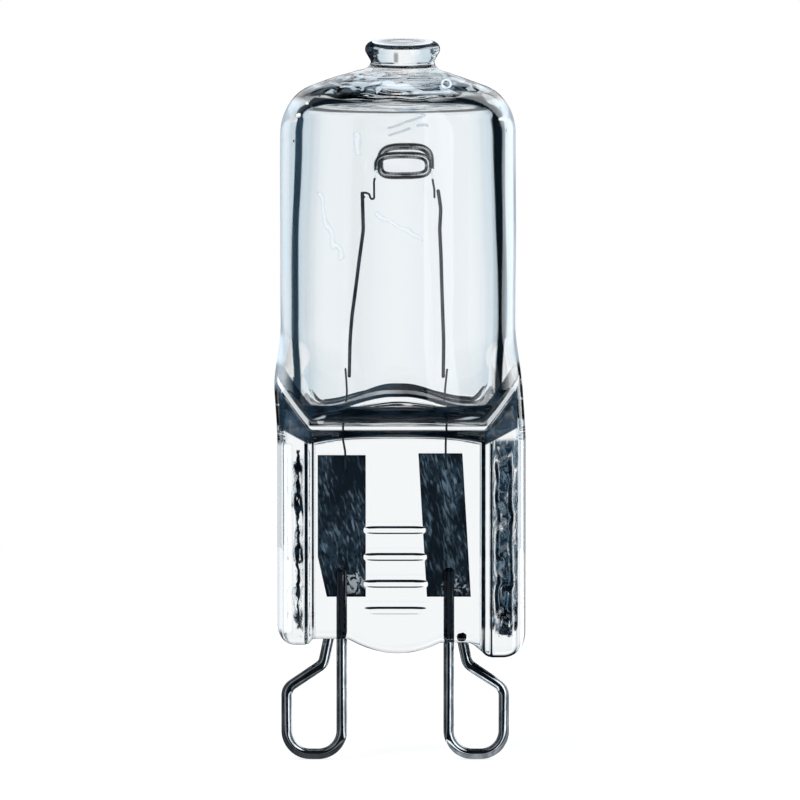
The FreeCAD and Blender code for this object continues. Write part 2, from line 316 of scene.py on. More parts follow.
class Shaper:
    """A Geometry Nodes tree with named sizes, which is baked into an object's mesh."""

    def __init__(self, name: str, **sizes: float) -> None:
        """Makes the tree with its named inputs.

        Args:
            name: the tree's name.
            sizes: the default of each named size, in metres or as a count.
        """
        self.group = bpy.data.node_groups.new(name, "GeometryNodeTree")
        self.tree = Tree(self.group)
        self.keys: dict[str, str] = {}
        interface = self.group.interface
        interface.new_socket("Geometry", in_out="INPUT", socket_type="NodeSocketGeometry")
        interface.new_socket("Geometry", in_out="OUTPUT", socket_type="NodeSocketGeometry")
        for label, size in sizes.items():
            socket = interface.new_socket(label, in_out="INPUT", socket_type="NodeSocketFloat")
            socket.default_value = size
            self.keys[label] = socket.identifier
        self.entry = self.group.nodes.new("NodeGroupInput")

    @property
    def geometry(self) -> Value:
        """What the modifier is given."""
        return Value(self.tree, self.entry.outputs[0])

    def size(self, label: str) -> Value:
        """A named size."""
        return Value(self.tree, self.entry.outputs[label])

    def close(self, geometry: Value, material: bpy.types.Material) -> None:
        """Ends the tree in real, smooth geometry with its material."""
        real = self.tree.value("GeometryNodeRealizeInstances", None, {0: geometry})
        smooth = self.tree.value("GeometryNodeSetShadeSmooth", None, {0: real})
        self.dress(smooth, {"Material": material})

    def dress(self, geometry: Value, inputs: dict) -> None:
        """Ends the tree in geometry with a material, on all of its faces or on a selection."""
        dressed = self.tree.value("GeometryNodeSetMaterial", None, {0: geometry, **inputs})
        self.tree.node("NodeGroupOutput", None, {0: dressed})

    def bake(self, piece: bpy.types.Object, **sizes: float) -> None:
        """Runs the tree on an object and keeps the result as its plain mesh.

        Args:
            piece: the object that is shaped.
            sizes: values for the named inputs that differ from their defaults.
        """
        modifier = piece.modifiers.new("shape", "NODES")
        modifier.node_group = self.group
        for label, size in sizes.items():
            modifier[self.keys[label]] = size
        graph = bpy.context.evaluated_depsgraph_get()
        evaluated = piece.evaluated_get(graph)
        mesh = bpy.data.meshes.new_from_object(
            evaluated, preserve_all_data_layers=True, depsgraph=graph
        )
        piece.modifiers.remove(modifier)
        mesh.name = piece.name
        piece.data = mesh


# Meshes from rows of points


def rise(value: np.ndarray | float, start: float, end: float) -> np.ndarray:
    """A smooth step from 0 at start to 1 at end."""
    share = np.clip((np.asarray(value, float) - start) / (end - start), 0.0, 1.0)
    return share * share * (3.0 - 2.0 * share)


def soft_least(first: np.ndarray, second: np.ndarray, blend: float | np.ndarray) -> np.ndarray:
    """The smaller of two values, rounded over where they are nearly equal."""
    blend = np.maximum(blend, 1e-6)
    near = np.maximum(blend - np.abs(first - second), 0.0) / blend
    return np.minimum(first, second) - near * near * blend / 4.0


def soft_most(first: np.ndarray, second: np.ndarray, blend: float | np.ndarray) -> np.ndarray:
    """The larger of two values, filled in where they are nearly equal."""
    return -soft_least(-first, -second, blend)


def arc(centre: Place, radii: Place, start: float, end: float, count: int) -> list[Place]:
    """Points on an elliptic arc.

    Args:
        centre: the middle of the ellipse.
        radii: its half width and half height.
        start: the angle of the first point, in degrees.
        end: the angle of the last point.
        count: how many points there are.

    Returns:
        The points in order.
    """
    angles = np.radians(np.linspace(start, end, count))
    return [
        (centre[0] + radii[0] * math.cos(angle), centre[1] + radii[1] * math.sin(angle))
        for angle in angles
    ]


def run(start: Place, end: Place, count: int) -> list[Place]:
    """Evenly spaced points from one place up to, but not at, another."""
    shares = np.arange(count) / count
    return [tuple(np.array(start) + (np.array(end) - np.array(start)) * s) for s in shares]


def mottle(first: np.ndarray, second: np.ndarray, seed: int) -> np.ndarray:
    """Smooth random heights from 0 to 1.

    Args:
        first: the place along the first axis, one random step in each unit.
        second: the place along the second axis.
        seed: picks the pattern, which is the same each time.

    Returns:
        The height at each place.
    """
    heights = np.random.default_rng(seed).random((64, 64))
    whole_a, whole_b = np.floor(first).astype(int), np.floor(second).astype(int)
    part_a, part_b = rise(first - whole_a, 0.0, 1.0), rise(second - whole_b, 0.0, 1.0)
    corner = [[heights[(whole_a + i) % 64, (whole_b + j) % 64] for j in (0, 1)] for i in (0, 1)]
    low = corner[0][0] + (corner[0][1] - corner[0][0]) * part_b
    high = corner[1][0] + (corner[1][1] - corner[1][0]) * part_b
    return low + (high - low) * part_a


def new_object(name: str, data: bpy.types.ID) -> bpy.types.Object:
    """An object at the origin that is linked to the scene."""
    thing = bpy.data.objects.new(name, data)
    bpy.context.scene.collection.objects.link(thing)
    return thing


def new_piece(name: str) -> bpy.types.Object:
    """An object with an empty mesh."""
    return new_object(name, bpy.data.meshes.new(name))


def skin(form: bmesh.types.BMesh, rows: np.ndarray, slot: int, inwards: bool) -> None:
    """Adds a closed skin to a mesh.

    Args:
        form: the mesh that grows.
        rows: rings of points from top to bottom, rows by points by 3, in millimetres.
        slot: the material slot of the new faces.
        inwards: whether the skin faces its own axis, as the wall of a hollow does.
    """
    part = bmesh.new()
    count = rows.shape[1]
    points = [[part.verts.new(Vector(point) * MM) for point in row] for row in rows]
    for upper, lower in zip(points, points[1:]):
        for i in range(count):
            j = (i + 1) % count
            part.faces.new((upper[i], lower[i], lower[j], upper[j]))
    bmesh.ops.remove_doubles(part, verts=part.verts, dist=3e-7)
    bmesh.ops.recalc_face_normals(part, faces=part.faces)
    if (part.calc_volume(signed=True) < 0.0) != inwards:
        bmesh.ops.reverse_faces(part, faces=part.faces)
    for face in part.faces:
        face.smooth = True
        face.material_index = slot
    mesh = bpy.data.meshes.new("skin")
    part.to_mesh(mesh)
    part.free()
    form.from_mesh(mesh)
    bpy.data.meshes.remove(mesh)


def rounded_route(points: Sequence[Vector], radii: Sequence[float], steps: int) -> list[Vector]:
    """Straight runs with an arc at each inner point.

    Args:
        points: the route's corners.
        radii: the bend radius at each corner, which counts only at inner ones.
        steps: how many pieces an arc has.

    Returns:
        The points of the rounded route.
    """
    route = [points[0]]
    for before, corner, after, radius in zip(points, points[1:], points[2:], radii[1:]):
        back = (before - corner).normalized()
        ahead = (after - corner).normalized()
        turn = math.pi - back.angle(ahead)
        if turn < 0.01 or radius == 0.0:
            route.append(corner)
            continue
        middle = corner + (back + ahead).normalized() * (radius / math.cos(turn / 2))
        start = corner + back * (radius * math.tan(turn / 2)) - middle
        axis = start.cross(corner + ahead * (radius * math.tan(turn / 2)) - middle).normalized()
        side = axis.cross(start)
        for i in range(steps + 1):
            angle = turn * i / steps
            route.append(middle + start * math.cos(angle) + side * math.sin(angle))
    route.append(points[-1])
    return route


# Finishes


class Skin(Enum):
    """Which surface of the quartz a material is for."""

    OUTER = "quartz_outer"
    BORE = "quartz_bore"
    BUBBLE = "quartz_bubble"


@dataclass(frozen=True)
class Spot:
    """Where a shaded point lies on the outer skin, as the marks in the glass need it.

    front is 1 on the front half, inwards the normal's part towards the back, grazing 1 where the
    skin is seen edge on, aside how far out a point is on a facet, and lowered its height on the
    pressed slope with the facets' climb taken off.
    """

    tree: Tree
    x: Value
    y: Value
    z: Value
    front: Value
    inwards: Value
    grazing: Value
    aside: Value
    lowered: Value


@dataclass(frozen=True)
class QuartzFinish:
    """Clear quartz: pale blue through its thickness, with slow waves and fine press marks."""

    refraction: float = 1.46
    tint: Colour = (0.94, 0.962, 0.975)
    # Painted shade: a dark mottled tint in the right rib's trough, where the glass looks dark.
    trough_shade_tint: Colour = (0.008, 0.022, 0.04)
    # Painted shade: matt near-black and slate colours laid over the press's edges, slopes and
    # facets.
    edge_dark: Colour = (0.002, 0.005, 0.009)
    slope_dark: Colour = (0.009, 0.02, 0.033)
    facet_dark: Colour = (0.035, 0.07, 0.11)
    # Painted highlight colour: pale matt white on the ledge, the stub's dish and the left rib's
    # edge.
    pale: Colour = (0.86, 0.91, 0.95)
    # Painted sheen colour: soft pale blue for the tube's rim, the dome's blots and ring, and the
    # short pale strokes.
    soft_light: Colour = (0.66, 0.77, 0.85)
    # Painted shade colour: slate for the dome's blots, the streaks under it and the left flare.
    slate: Colour = (0.16, 0.24, 0.31)
    matt: float = 0.6
    wave_depth: float = 0.012
    press_depth: float = 0.05
    seal: Span = (7.4, 17.6)
    left_mark: Span = (-5.9, -4.9)
    right_mark: Span = (5.56, 6.42)
    groove_x: float = -5.36
    groove_z: Span = (7.9, 17.3)
    main_slope: Span = (18.84, 19.85)
    lower_slope: Span = (17.95, 18.3)
    slope_strength: float = 0.94
    facet_foot: Span = (1.04, 17.52)
    facet_top: Span = (18.34, 18.2)
    facet_reach: Span = (-6.35, 6.7)
    gleam: Span = (18.42, 18.72)
    gleam_reach: Span = (-6.45, 6.8)
    steep: Span = (0.08, 0.3)
    steps_reach: Span = (-6.0, 6.6)
    steps_top: Span = (17.8, 17.65)
    foot_z: Span = (7.6, 7.2)
    foot_x: Span = (5.0, 4.6)
    left_edge: Span = (-5.6, -5.85)
    left_edge_z: Span = (7.4, 17.5)
    stub_z: float = 38.6
    stub_lip: Span = (1.71, 2.03)
    stub_lip_z: Span = (39.35, 39.5)
    stub_dish_z: Span = (39.35, 39.45)
    stub_band: Span = (-1.72, -1.22)
    stub_mark: Span = (-0.42, -0.3)
    stub_mark_z: Span = (38.8, 39.15)
    tube_edge: Span = (5.6, 6.1)
    tube_z: Span = (22.5, 37.4)
    flare_x: Span = (-5.9, -6.4)
    flare_z: Span = (20.9, 23.4)
    dome: Span = (2.9, 5.3)
    dome_z: Span = (36.4, 36.7)
    ring: tuple[float, float, float] = (2.81, 37.38, 0.24)
    ring_slant: float = 0.0612
    # Painted shade: zigzag slate streaks under the dome, where its ripples bend the light.
    streaks: Sequence[Stroke] = (
        (0.17, 36.30, 1.61, 35.92),
        (1.46, 35.85, -0.29, 35.29),
        (1.19, 35.37, 1.98, 35.48),
        (0.63, 35.15, -0.39, 34.82),
    )
    # Painted reflections and glints: short pale strokes on the front of the bulb and its slope.
    glints: Sequence[Stroke] = (
        (-2.30, 34.80, -2.10, 33.80),
        (-3.90, 31.70, -3.60, 29.90),
        (-3.60, 29.90, -2.85, 28.20),
        (-1.05, 30.50, 1.40, 29.20),
        (3.45, 19.05, 4.35, 19.30),
        (-4.30, 19.10, -4.15, 19.15),
    )
    streak_width: float = 0.12
    glint_width: float = 0.2
    # Painted shade on the bore's outline, slate on the left and near-black on the right, as if lit
    # from the left.
    rim_left: Colour = (0.08, 0.15, 0.22)
    rim_right: Colour = (0.01, 0.025, 0.04)
    rim: Span = (0.70, 0.732)
    rim_edge: float = 0.012
    rim_z: Span = (20.6, 36.2)
    rim_top: Span = (35.2, 35.7)
    rim_top_reach: Span = (-4.0, 4.3)
    rim_dark_z: Span = (35.4, 35.9)
    inner_rim: Span = (0.26, 0.1)
    floor_z: float = 21.6
    floor_tilt: Span = (0.3, 0.92)
    floor_reach: Span = (-4.4, 4.7)
    ceiling_z: Span = (36.0, 36.2)
    ceiling_reach: Span = (-4.9, 5.2)
    ceiling_sides: Span = (1.2, 3.6)
    ceiling_front: Span = (0.78, 0.88)
    ceiling_back: Span = (0.62, 0.9)

    def material(self, surface: Skin) -> bpy.types.Material:
        """The glass of one surface.

        Args:
            surface: which surface it is for.

        Returns:
            The material.
        """
        material, tree, shader = new_material(surface.value)
        shader.inputs["IOR"].default_value = self.refraction
        shader.inputs["Transmission Weight"].default_value = 1.0
        shader.inputs["Roughness"].default_value = 0.0
        shader.inputs["Base Color"].default_value = with_alpha(self.tint)
        if surface is Skin.OUTER:
            connect(tree, shader, Normal=self.surface_marks(tree))
            self.add_press_shade(material, tree, shader)
        if surface is Skin.BORE:
            self.add_outline(material, tree, shader)
        return material

    def spot(self, tree: Tree) -> Spot:
        """Reads where a point of the outer skin lies.

        Args:
            tree: the outer skin's tree.

        Returns:
            The point, with what the marks need to know of it.
        """
        x, y, z = tree.parts(tree.place())
        _, inwards, _ = tree.parts(tree.geometry("Normal"))
        start, end = FACET_X
        aside = ((abs(x - BULB_X) - start) / (end - start)).math("MAXIMUM", 0.0)
        lift = aside**FACET_CURVE * FACET_LIFT * z.rise(FACET_FOOT, FACET_FOOT + FACET_FADE)
        lowered = z - lift + y.math("SIGN") * SLOPE_LAG
        return Spot(tree, x, y, z, y.rise(0.5, -0.5), inwards, tree.grazing(), aside, lowered)

    def add_press_shade(
        self, material: bpy.types.Material, tree: Tree, shader: bpy.types.Node
    ) -> None:
        """Paints matt shade over the slopes, steps and marks of the press, and painted highlights
        and sheen.

        Args:
            material: the outer skin's material.
            tree: its tree.
            shader: its glass shader.
        """
        spot = self.spot(tree)
        marks = tree.noise(tree.place((1.3, 1.3, 0.8)), 1.6, 3.0, 0.8)
        patches = tree.noise(tree.place((0.8, 0.8, 1.6)), 1.1, 4.0, 0.6)
        # Painted shade: the glass is tinted dark in the right rib's trough.
        trough = spot.x.band(*self.right_mark, 0.1) * spot.z.band(*self.seal, 0.3)
        tint = tree.mix(trough * marks.rise(0.75, 0.52), self.tint, self.trough_shade_tint)
        connect(tree, shader, Base_Color=tint)
        # Painted shade over the facets, slopes, rib steps and groove, on the front only.
        facet = self.facets(spot)
        pressed = self.slopes(spot) + facet * (0.9 + marks.rise(0.7, 0.5) * 0.08)
        pressed = pressed + self.steps(spot) + self.groove(spot)
        # Painted highlights, soft painted sheen and reflections, and painted shade on the dome,
        # streaks and flare.
        bright = self.highlight_marks(spot)
        dome, blots = self.dome_blots(spot)
        soft = self.soft_highlights(spot, dome, blots)
        dull_shade = self.shade_marks(spot, dome, blots)
        factor = pressed * spot.front + self.stub_lines(spot) + bright + soft + dull_shade
        # Colours of the painted shade, then painted sheen and highlights on top of it.
        dark = tree.mix(patches.rise(0.42, 0.6), self.edge_dark, self.slope_dark)
        on_facet = tree.mix(patches.rise(0.35, 0.65), self.slope_dark, self.facet_dark)
        colour = tree.mix(facet, dark, on_facet)
        for shade, own in ((dull_shade, self.slate), (soft, self.soft_light), (bright, self.pale)):
            colour = tree.mix((shade * 3.0).math("MINIMUM", 1.0), colour, own)
        outside = 1.0 - tree.geometry("Backfacing")
        self.paint(material, tree, shader, factor * outside, colour)

    def facets(self, spot: Spot) -> Value:
        """Painted shade on the facets at both sides of the pressed slope."""
        foot = spot.aside * self.facet_foot[0] + self.facet_foot[1]
        facet = spot.aside.rise(0.0, 0.08) * (spot.z - foot).rise(0.0, 0.1)
        return facet * spot.lowered.rise(*self.facet_top) * spot.x.band(*self.facet_reach, 0.1)

    def slopes(self, spot: Spot) -> Value:
        """Painted shade on the two steep parts of the pressed slope, above and below its upright
        ledge.
        """
        main = spot.lowered.band(*self.main_slope, 0.08) * spot.aside.rise(1.0, 0.5)
        dip = (abs(spot.x - BULB_X) / FACET_X[0]).math("MINIMUM", 1.0) ** 3.0 * WEB_DIP
        low, high = self.lower_slope
        lower = (spot.lowered + dip).rise(low - 0.06, low) * spot.lowered.rise(high + 0.06, high)
        return (main + lower * spot.aside.rise(0.1, 0.0)) * self.slope_strength

    def steps(self, spot: Spot) -> Value:
        """Painted shade on the steep edges of the ribs."""
        steep = (1.0 - abs(spot.inwards)).rise(*self.steep) * spot.z.rise(*self.steps_top)
        on_foot = 1.0 - spot.z.rise(*self.foot_z) * spot.x.rise(*self.foot_x) * 0.8
        return steep * spot.x.band(*self.steps_reach, 0.2) * on_foot

    def groove(self, spot: Spot) -> Value:
        """A wandering line of painted shade along the groove that the press leaves down the left
        rib.
        """
        along = spot.tree.place((0.0, 0.0, 1.0))
        bend = spot.tree.noise(along, 1.3, 3.0)
        broken = spot.tree.noise(along, 0.9, 4.0, 0.5)
        off_line = abs(spot.x - self.groove_x - (bend - 0.5) * 0.5)
        wide = (broken * 0.34 - 0.06 - off_line).rise(0.0, 0.05)
        return wide * spot.z.band(*self.groove_z, 0.1)

    def stub_lines(self, spot: Spot) -> Value:
        """Painted shade: the dark lip of the stub, the dark band on its left and the short mark on
        its front.
        """
        across = spot.x - STUB_X
        lip = across.hypot(spot.y).band(*self.stub_lip, 0.04) * spot.z.rise(*self.stub_lip_z)
        band = spot.x.band(*self.stub_band, 0.05) * spot.z.rise(self.stub_z, self.stub_z + 0.1)
        mark = across.band(*self.stub_mark, 0.12) * spot.z.band(*self.stub_mark_z, 0.2)
        return (lip + band) * 0.9 + mark * spot.front * 0.6

    def highlight_marks(self, spot: Spot) -> Value:
        """Painted highlights: the ledge along the facets, the stub's dish and the left rib's edge.
        """
        gleam = spot.lowered.band(*self.gleam, 0.06) * spot.aside.rise(0.04, 0.14)
        gleam = gleam * spot.x.band(*self.gleam_reach, 0.1) * spot.front
        inside = self.stub_lip[0]
        dish = (spot.x - STUB_X).hypot(spot.y).rise(inside, inside - 0.08)
        dish = dish * spot.z.rise(*self.stub_dish_z) * spot.grazing.rise(0.4, 0.85)
        turned = (-spot.inwards).rise(0.4, 0.8).math("MAXIMUM", spot.grazing.rise(0.4, 0.7))
        edge = spot.x.rise(*self.left_edge) * spot.z.band(*self.left_edge_z, 0.3)
        edge = edge * turned * spot.front
        return (gleam * 0.8 + dish * 0.6 + edge * 0.6).math("MINIMUM", 1.0)

    def soft_highlights(self, spot: Spot, dome: Value, blots: Value) -> Value:
        """Soft painted highlights and reflections: the tube's rim, the pale blots and the ring on
        the dome, and the glints.
        """
        out = (spot.x - BULB_X).hypot(spot.y).rise(*self.tube_edge)
        rim = out * spot.z.band(*self.tube_z, 0.8) * spot.grazing.rise(0.5, 0.72)
        ring_x, ring_z, size = self.ring
        off_z = spot.z + spot.y * self.ring_slant - ring_z
        ring = abs((spot.x - ring_x).hypot(off_z) - size).rise(0.1, 0.0)
        glints = self.strokes(spot, self.glints, self.glint_width)
        total = rim * 0.55 + dome * (blots.rise(0.5, 0.58) * 0.5 + ring * 0.7) + glints * 0.45
        return total.math("MINIMUM", 1.0)

    def shade_marks(self, spot: Spot, dome: Value, blots: Value) -> Value:
        """Painted shade: dark blots on the dome, the streaks under it and the left flare."""
        streaks = self.strokes(spot, self.streaks, self.streak_width)
        flare = spot.x.rise(*self.flare_x) * spot.z.band(*self.flare_z, 0.5)
        return dome * blots.rise(0.5, 0.42) * 0.3 + streaks * 0.5 + flare * 0.5

    def dome_blots(self, spot: Spot) -> tuple[Value, Value]:
        """Where the front of the uneven dome is, and the noise that blots it."""
        blots = spot.tree.noise(spot.tree.place((0.8, 0.8, 1.6)), 0.8, 2.0, 1.2)
        dome = (spot.x - BULB_X).hypot(spot.y).band(*self.dome, 0.3)
        return dome * spot.z.rise(*self.dome_z) * spot.y.rise(0.2, -0.4), blots

    def strokes(self, spot: Spot, places: Sequence[Stroke], width: float) -> Value:
        """Short swaying strokes on the front.

        Args:
            spot: the point that is shaded.
            places: x and z of both ends of each stroke.
            width: how far a stroke fades out from its middle.

        Returns:
            1 on the strokes and 0 away from them.
        """
        sway = spot.tree.noise(spot.tree.place(), 0.7, 1.0) - 0.5
        x = spot.x + sway * 1.4
        z = spot.z + sway * 0.7
        total = sway * 0.0
        for start_x, start_z, end_x, end_z in places:
            run_x, run_z = end_x - start_x, end_z - start_z
            share = (x - start_x) * run_x + (z - start_z) * run_z
            share = (share / (run_x**2 + run_z**2)).math("MAXIMUM", 0.0).math("MINIMUM", 1.0)
            distance = (x - start_x - share * run_x).hypot(z - start_z - share * run_z)
            total = total.math("MAXIMUM", distance.rise(width, 0.0))
        return total * spot.y.rise(-3.0, -4.0)

    def paint(
        self,
        material: bpy.types.Material,
        tree: Tree,
        shader: bpy.types.Node,
        factor: Value,
        colour: Value,
    ) -> None:
        """Mixes a matt colour into the glass.

        Args:
            material: the glass's material.
            tree: its tree.
            shader: its glass shader.
            factor: how much of the matt colour shows, at most 1.
            colour: the matt colour.
        """
        inputs = {"Base Color": colour, "Roughness": self.matt, "Specular IOR Level": 0.0}
        matt = tree.value("ShaderNodeBsdfPrincipled", None, inputs)
        glass = Value(tree, shader.outputs[0])
        inputs = {0: factor.math("MINIMUM", 1.0), 1: glass, 2: matt}
        mixed = tree.value("ShaderNodeMixShader", None, inputs)
        end = material.node_tree.nodes["Material Output"]
        tree.links.new(mixed.socket, end.inputs["Surface"])

    def add_outline(
        self, material: bpy.types.Material, tree: Tree, shader: bpy.types.Node
    ) -> None:
        """Paints shade on the bore where its wall, floor or ceiling turns all light back into the
        glass, darker on the right.

        Args:
            material: the bore's material.
            tree: its tree.
            shader: its glass shader.
        """
        x, y, z = tree.parts(tree.place())
        _, _, upright = tree.parts(tree.geometry("Normal"))
        upright = abs(upright)
        slant = 1.0 - tree.grazing()
        from_glass = tree.geometry("Backfacing")
        on_right = x.rise(-1.0, 1.0)
        low, high = self.rim
        wider = slant + z.rise(*self.rim_top) * x.band(*self.rim_top_reach, 0.5) * 0.05
        outside = wider.rise(low - self.rim_edge, low) * slant.rise(high + self.rim_edge, high)
        inside = slant.rise(*self.inner_rim) * (1.0 - from_glass) * (0.35 + on_right * 0.6)
        wall = (outside * from_glass + inside) * z.band(*self.rim_z, 0.4)
        floor = z.rise(self.floor_z, self.floor_z - 0.3) * upright.band(*self.floor_tilt, 0.08)
        floor = floor * x.band(*self.floor_reach, 0.3)
        sides = abs(x).rise(*self.ceiling_sides) * 0.5 + 0.1
        ceiling = upright.band(*self.ceiling_front, 0.05) * y.rise(0.5, -0.5) * sides
        ceiling = ceiling + upright.band(*self.ceiling_back, 0.06) * y.rise(-0.5, 0.5)
        ceiling = ceiling * z.rise(*self.ceiling_z) * x.band(*self.ceiling_reach, 0.3)
        colour = tree.mix(on_right, self.rim_left, self.rim_right)
        colour = tree.mix(z.rise(*self.rim_dark_z), colour, self.rim_right)
        self.paint(material, tree, shader, wall + floor + ceiling * 0.8, colour)

    def surface_marks(self, tree: Tree) -> Value:
        """The slow waves of blown glass, and the marks that the press leaves on the ribs.

        Args:
            tree: the material's tree.

        Returns:
            The surface's normal.
        """
        x, _, z = tree.parts(tree.place())
        waves = tree.noise(tree.place((0.35, 0.35, 0.2)), 1.0, 1.0)
        marks = tree.noise(tree.place((1.6, 1.6, 0.8)), 1.3, 3.0, 0.6)
        top = self.seal[1]
        on_ribs = x.band(*self.left_mark, 0.25) + x.band(*self.right_mark, 0.25)
        pressed = marks * on_ribs * z.rise(top, top - 0.8) * self.press_depth
        return tree.bump(waves * self.wave_depth + pressed)


@dataclass(frozen=True)
class WireFinish:
    """Drawn metal wire: dark, smooth, with fine lines along its length."""

    name: str
    colour: Colour
    bright: Colour
    roughness: float
    # Painted shade: above sealed_above, inside the glass, the wire turns near-black with faint
    # light streaks.
    sealed: Colour = (0.012, 0.016, 0.022)
    sealed_above: float = 100.0
    line_depth: float = 0.0015
    line_scale: float = 30.0

    def material(self) -> bpy.types.Material:
        """The wire's material."""
        material, tree, shader = new_material(self.name)
        shader.inputs["Metallic"].default_value = 1.0
        grain = tree.noise(tree.place((1.0, 1.0, 0.08)), self.line_scale, 3.0)
        patches = tree.noise(tree.place((1.0, 1.0, 0.4)), 2.4, 4.0)
        streaks = tree.noise(tree.place((1.0, 1.0, 0.06)), 4.0, 2.0)
        _, _, z = tree.parts(tree.place())
        bare = tree.mix(patches.rise(0.35, 0.65), self.colour, self.bright)
        # Painted shade: the wire inside the glass gets a near-black copy of its colour.
        dull_shade = tree.mix(streaks.rise(0.56, 0.66) * 0.35, self.sealed, self.bright)
        sealed = z.rise(self.sealed_above - 0.15, self.sealed_above + 0.15)
        connect(
            tree,
            shader,
            Base_Color=tree.mix(sealed, bare, dull_shade),
            Roughness=grain * 0.05 + self.roughness,
            Normal=tree.bump(grain * self.line_depth),
        )
        return material


@dataclass(frozen=True)
class FilamentFinish:
    """Fine coiled wire with painted light: pale and glowing along the middle of the coil, painted
    shade nearly black at its rims.
    """

    pale: Colour = (0.80, 0.85, 0.88)
    dark: Colour = (0.004, 0.008, 0.012)
    # Painted light: the lamp is unlit, so this emission is a painted glow on the coil's middle.
    glow: Colour = (0.5, 0.56, 0.6)
    rim: Span = (0.04, 0.24)
    tail_z: Span = (32.35, 32.2)
    roughness: float = 0.45

    def material(self) -> bpy.types.Material:
        """The coil's material, which reads how near its rim a turn is."""
        material, tree, shader = new_material("filament_wire")
        shader.inputs["Emission Strength"].default_value = 1.0
        rim = tree.value("ShaderNodeAttribute", {"attribute_name": "rim"}, None, "Fac")
        _, _, z = tree.parts(tree.place())
        # Painted shade also darkens the wire below tail_z, on the tails.
        rim = rim + z.rise(*self.tail_z)
        patches = tree.noise(tree.place(), 1.4, 2.0)
        # Painted shade at the coil's rims and painted glow along its middle.
        edge = (rim + patches * 0.3 - 0.15).rise(*self.rim)
        connect(
            tree,
            shader,
            Base_Color=tree.mix(edge, self.pale, self.dark),
            Emission_Color=tree.mix(edge, self.glow, (0.0, 0.0, 0.0)),
            Metallic=edge * 0.5 + 0.2,
            Roughness=patches * 0.1 + self.roughness,
        )
        return material


@dataclass(frozen=True)
class FoilFinish:
    """Thin dark foil with long mottled scratches, and weld spots whose near-white specks are
    painted glints.
    """

    dark: Colour = (0.016, 0.026, 0.040)
    soft: Colour = (0.055, 0.095, 0.135)
    light: Colour = (0.22, 0.32, 0.40)
    weld: Colour = (0.85, 0.9, 0.95)
    strip: Span = (2.95, 3.45)
    strip_z: Span = (10.6, 16.9)
    strip_lean: float = 0.02
    weld_reach: Place = (0.9, 0.8)
    scratch_slant: float = 0.28
    scratch_depth: float = 0.03
    roughness: float = 0.45

    def material(self, name: str, welds: Iterable[Place]) -> bpy.types.Material:
        """The foil's material.

        Args:
            name: the material's name.
            welds: the x and z of the middle of each group of weld spots.

        Returns:
            The material.
        """
        material, tree, shader = new_material(name)
        shader.inputs["Metallic"].default_value = 1.0
        x, _, z = tree.parts(tree.place())
        slant = self.scratch_slant
        strokes = tree.vector((x + z * slant) * 1.5, 0.0, (z - x * slant) * 0.32)
        scratches = tree.noise(strokes, 4.2, 5.0, 0.5)
        patches = tree.noise(tree.place((1.0, 1.0, 0.45)), 0.75, 3.0, 0.6)
        grain = tree.noise(tree.place((1.0, 1.0, 0.8)), 5.0, 4.0, 0.4)
        worn = scratches.rise(0.5, 0.7) * patches.rise(0.34, 0.56)
        colour = tree.mix(patches.rise(0.42, 0.62) * grain.rise(0.3, 0.62), self.dark, self.soft)
        colour = tree.mix(worn, colour, self.light)
        strip = (x + z * self.strip_lean).band(*self.strip, 0.08) * z.band(*self.strip_z, 0.5)
        colour = tree.mix(strip * scratches.rise(0.4, 0.62) * 0.6, colour, self.light)
        # Weld spots, their near-white specks a painted glint.
        specks = tree.noise(tree.place(), 3.0, 2.0, 0.8)
        for weld_x, weld_z in welds:
            across = (x - weld_x) / self.weld_reach[0]
            along = (z - weld_z) / self.weld_reach[1]
            near = (across * across + along * along).rise(1.0, 0.3)
            colour = tree.mix(near * specks.rise(0.48, 0.56), colour, self.weld)
        connect(
            tree,
            shader,
            Base_Color=colour,
            Roughness=worn * -0.15 + self.roughness,
            Normal=tree.bump(scratches * self.scratch_depth),
        )
        return material


# The glass


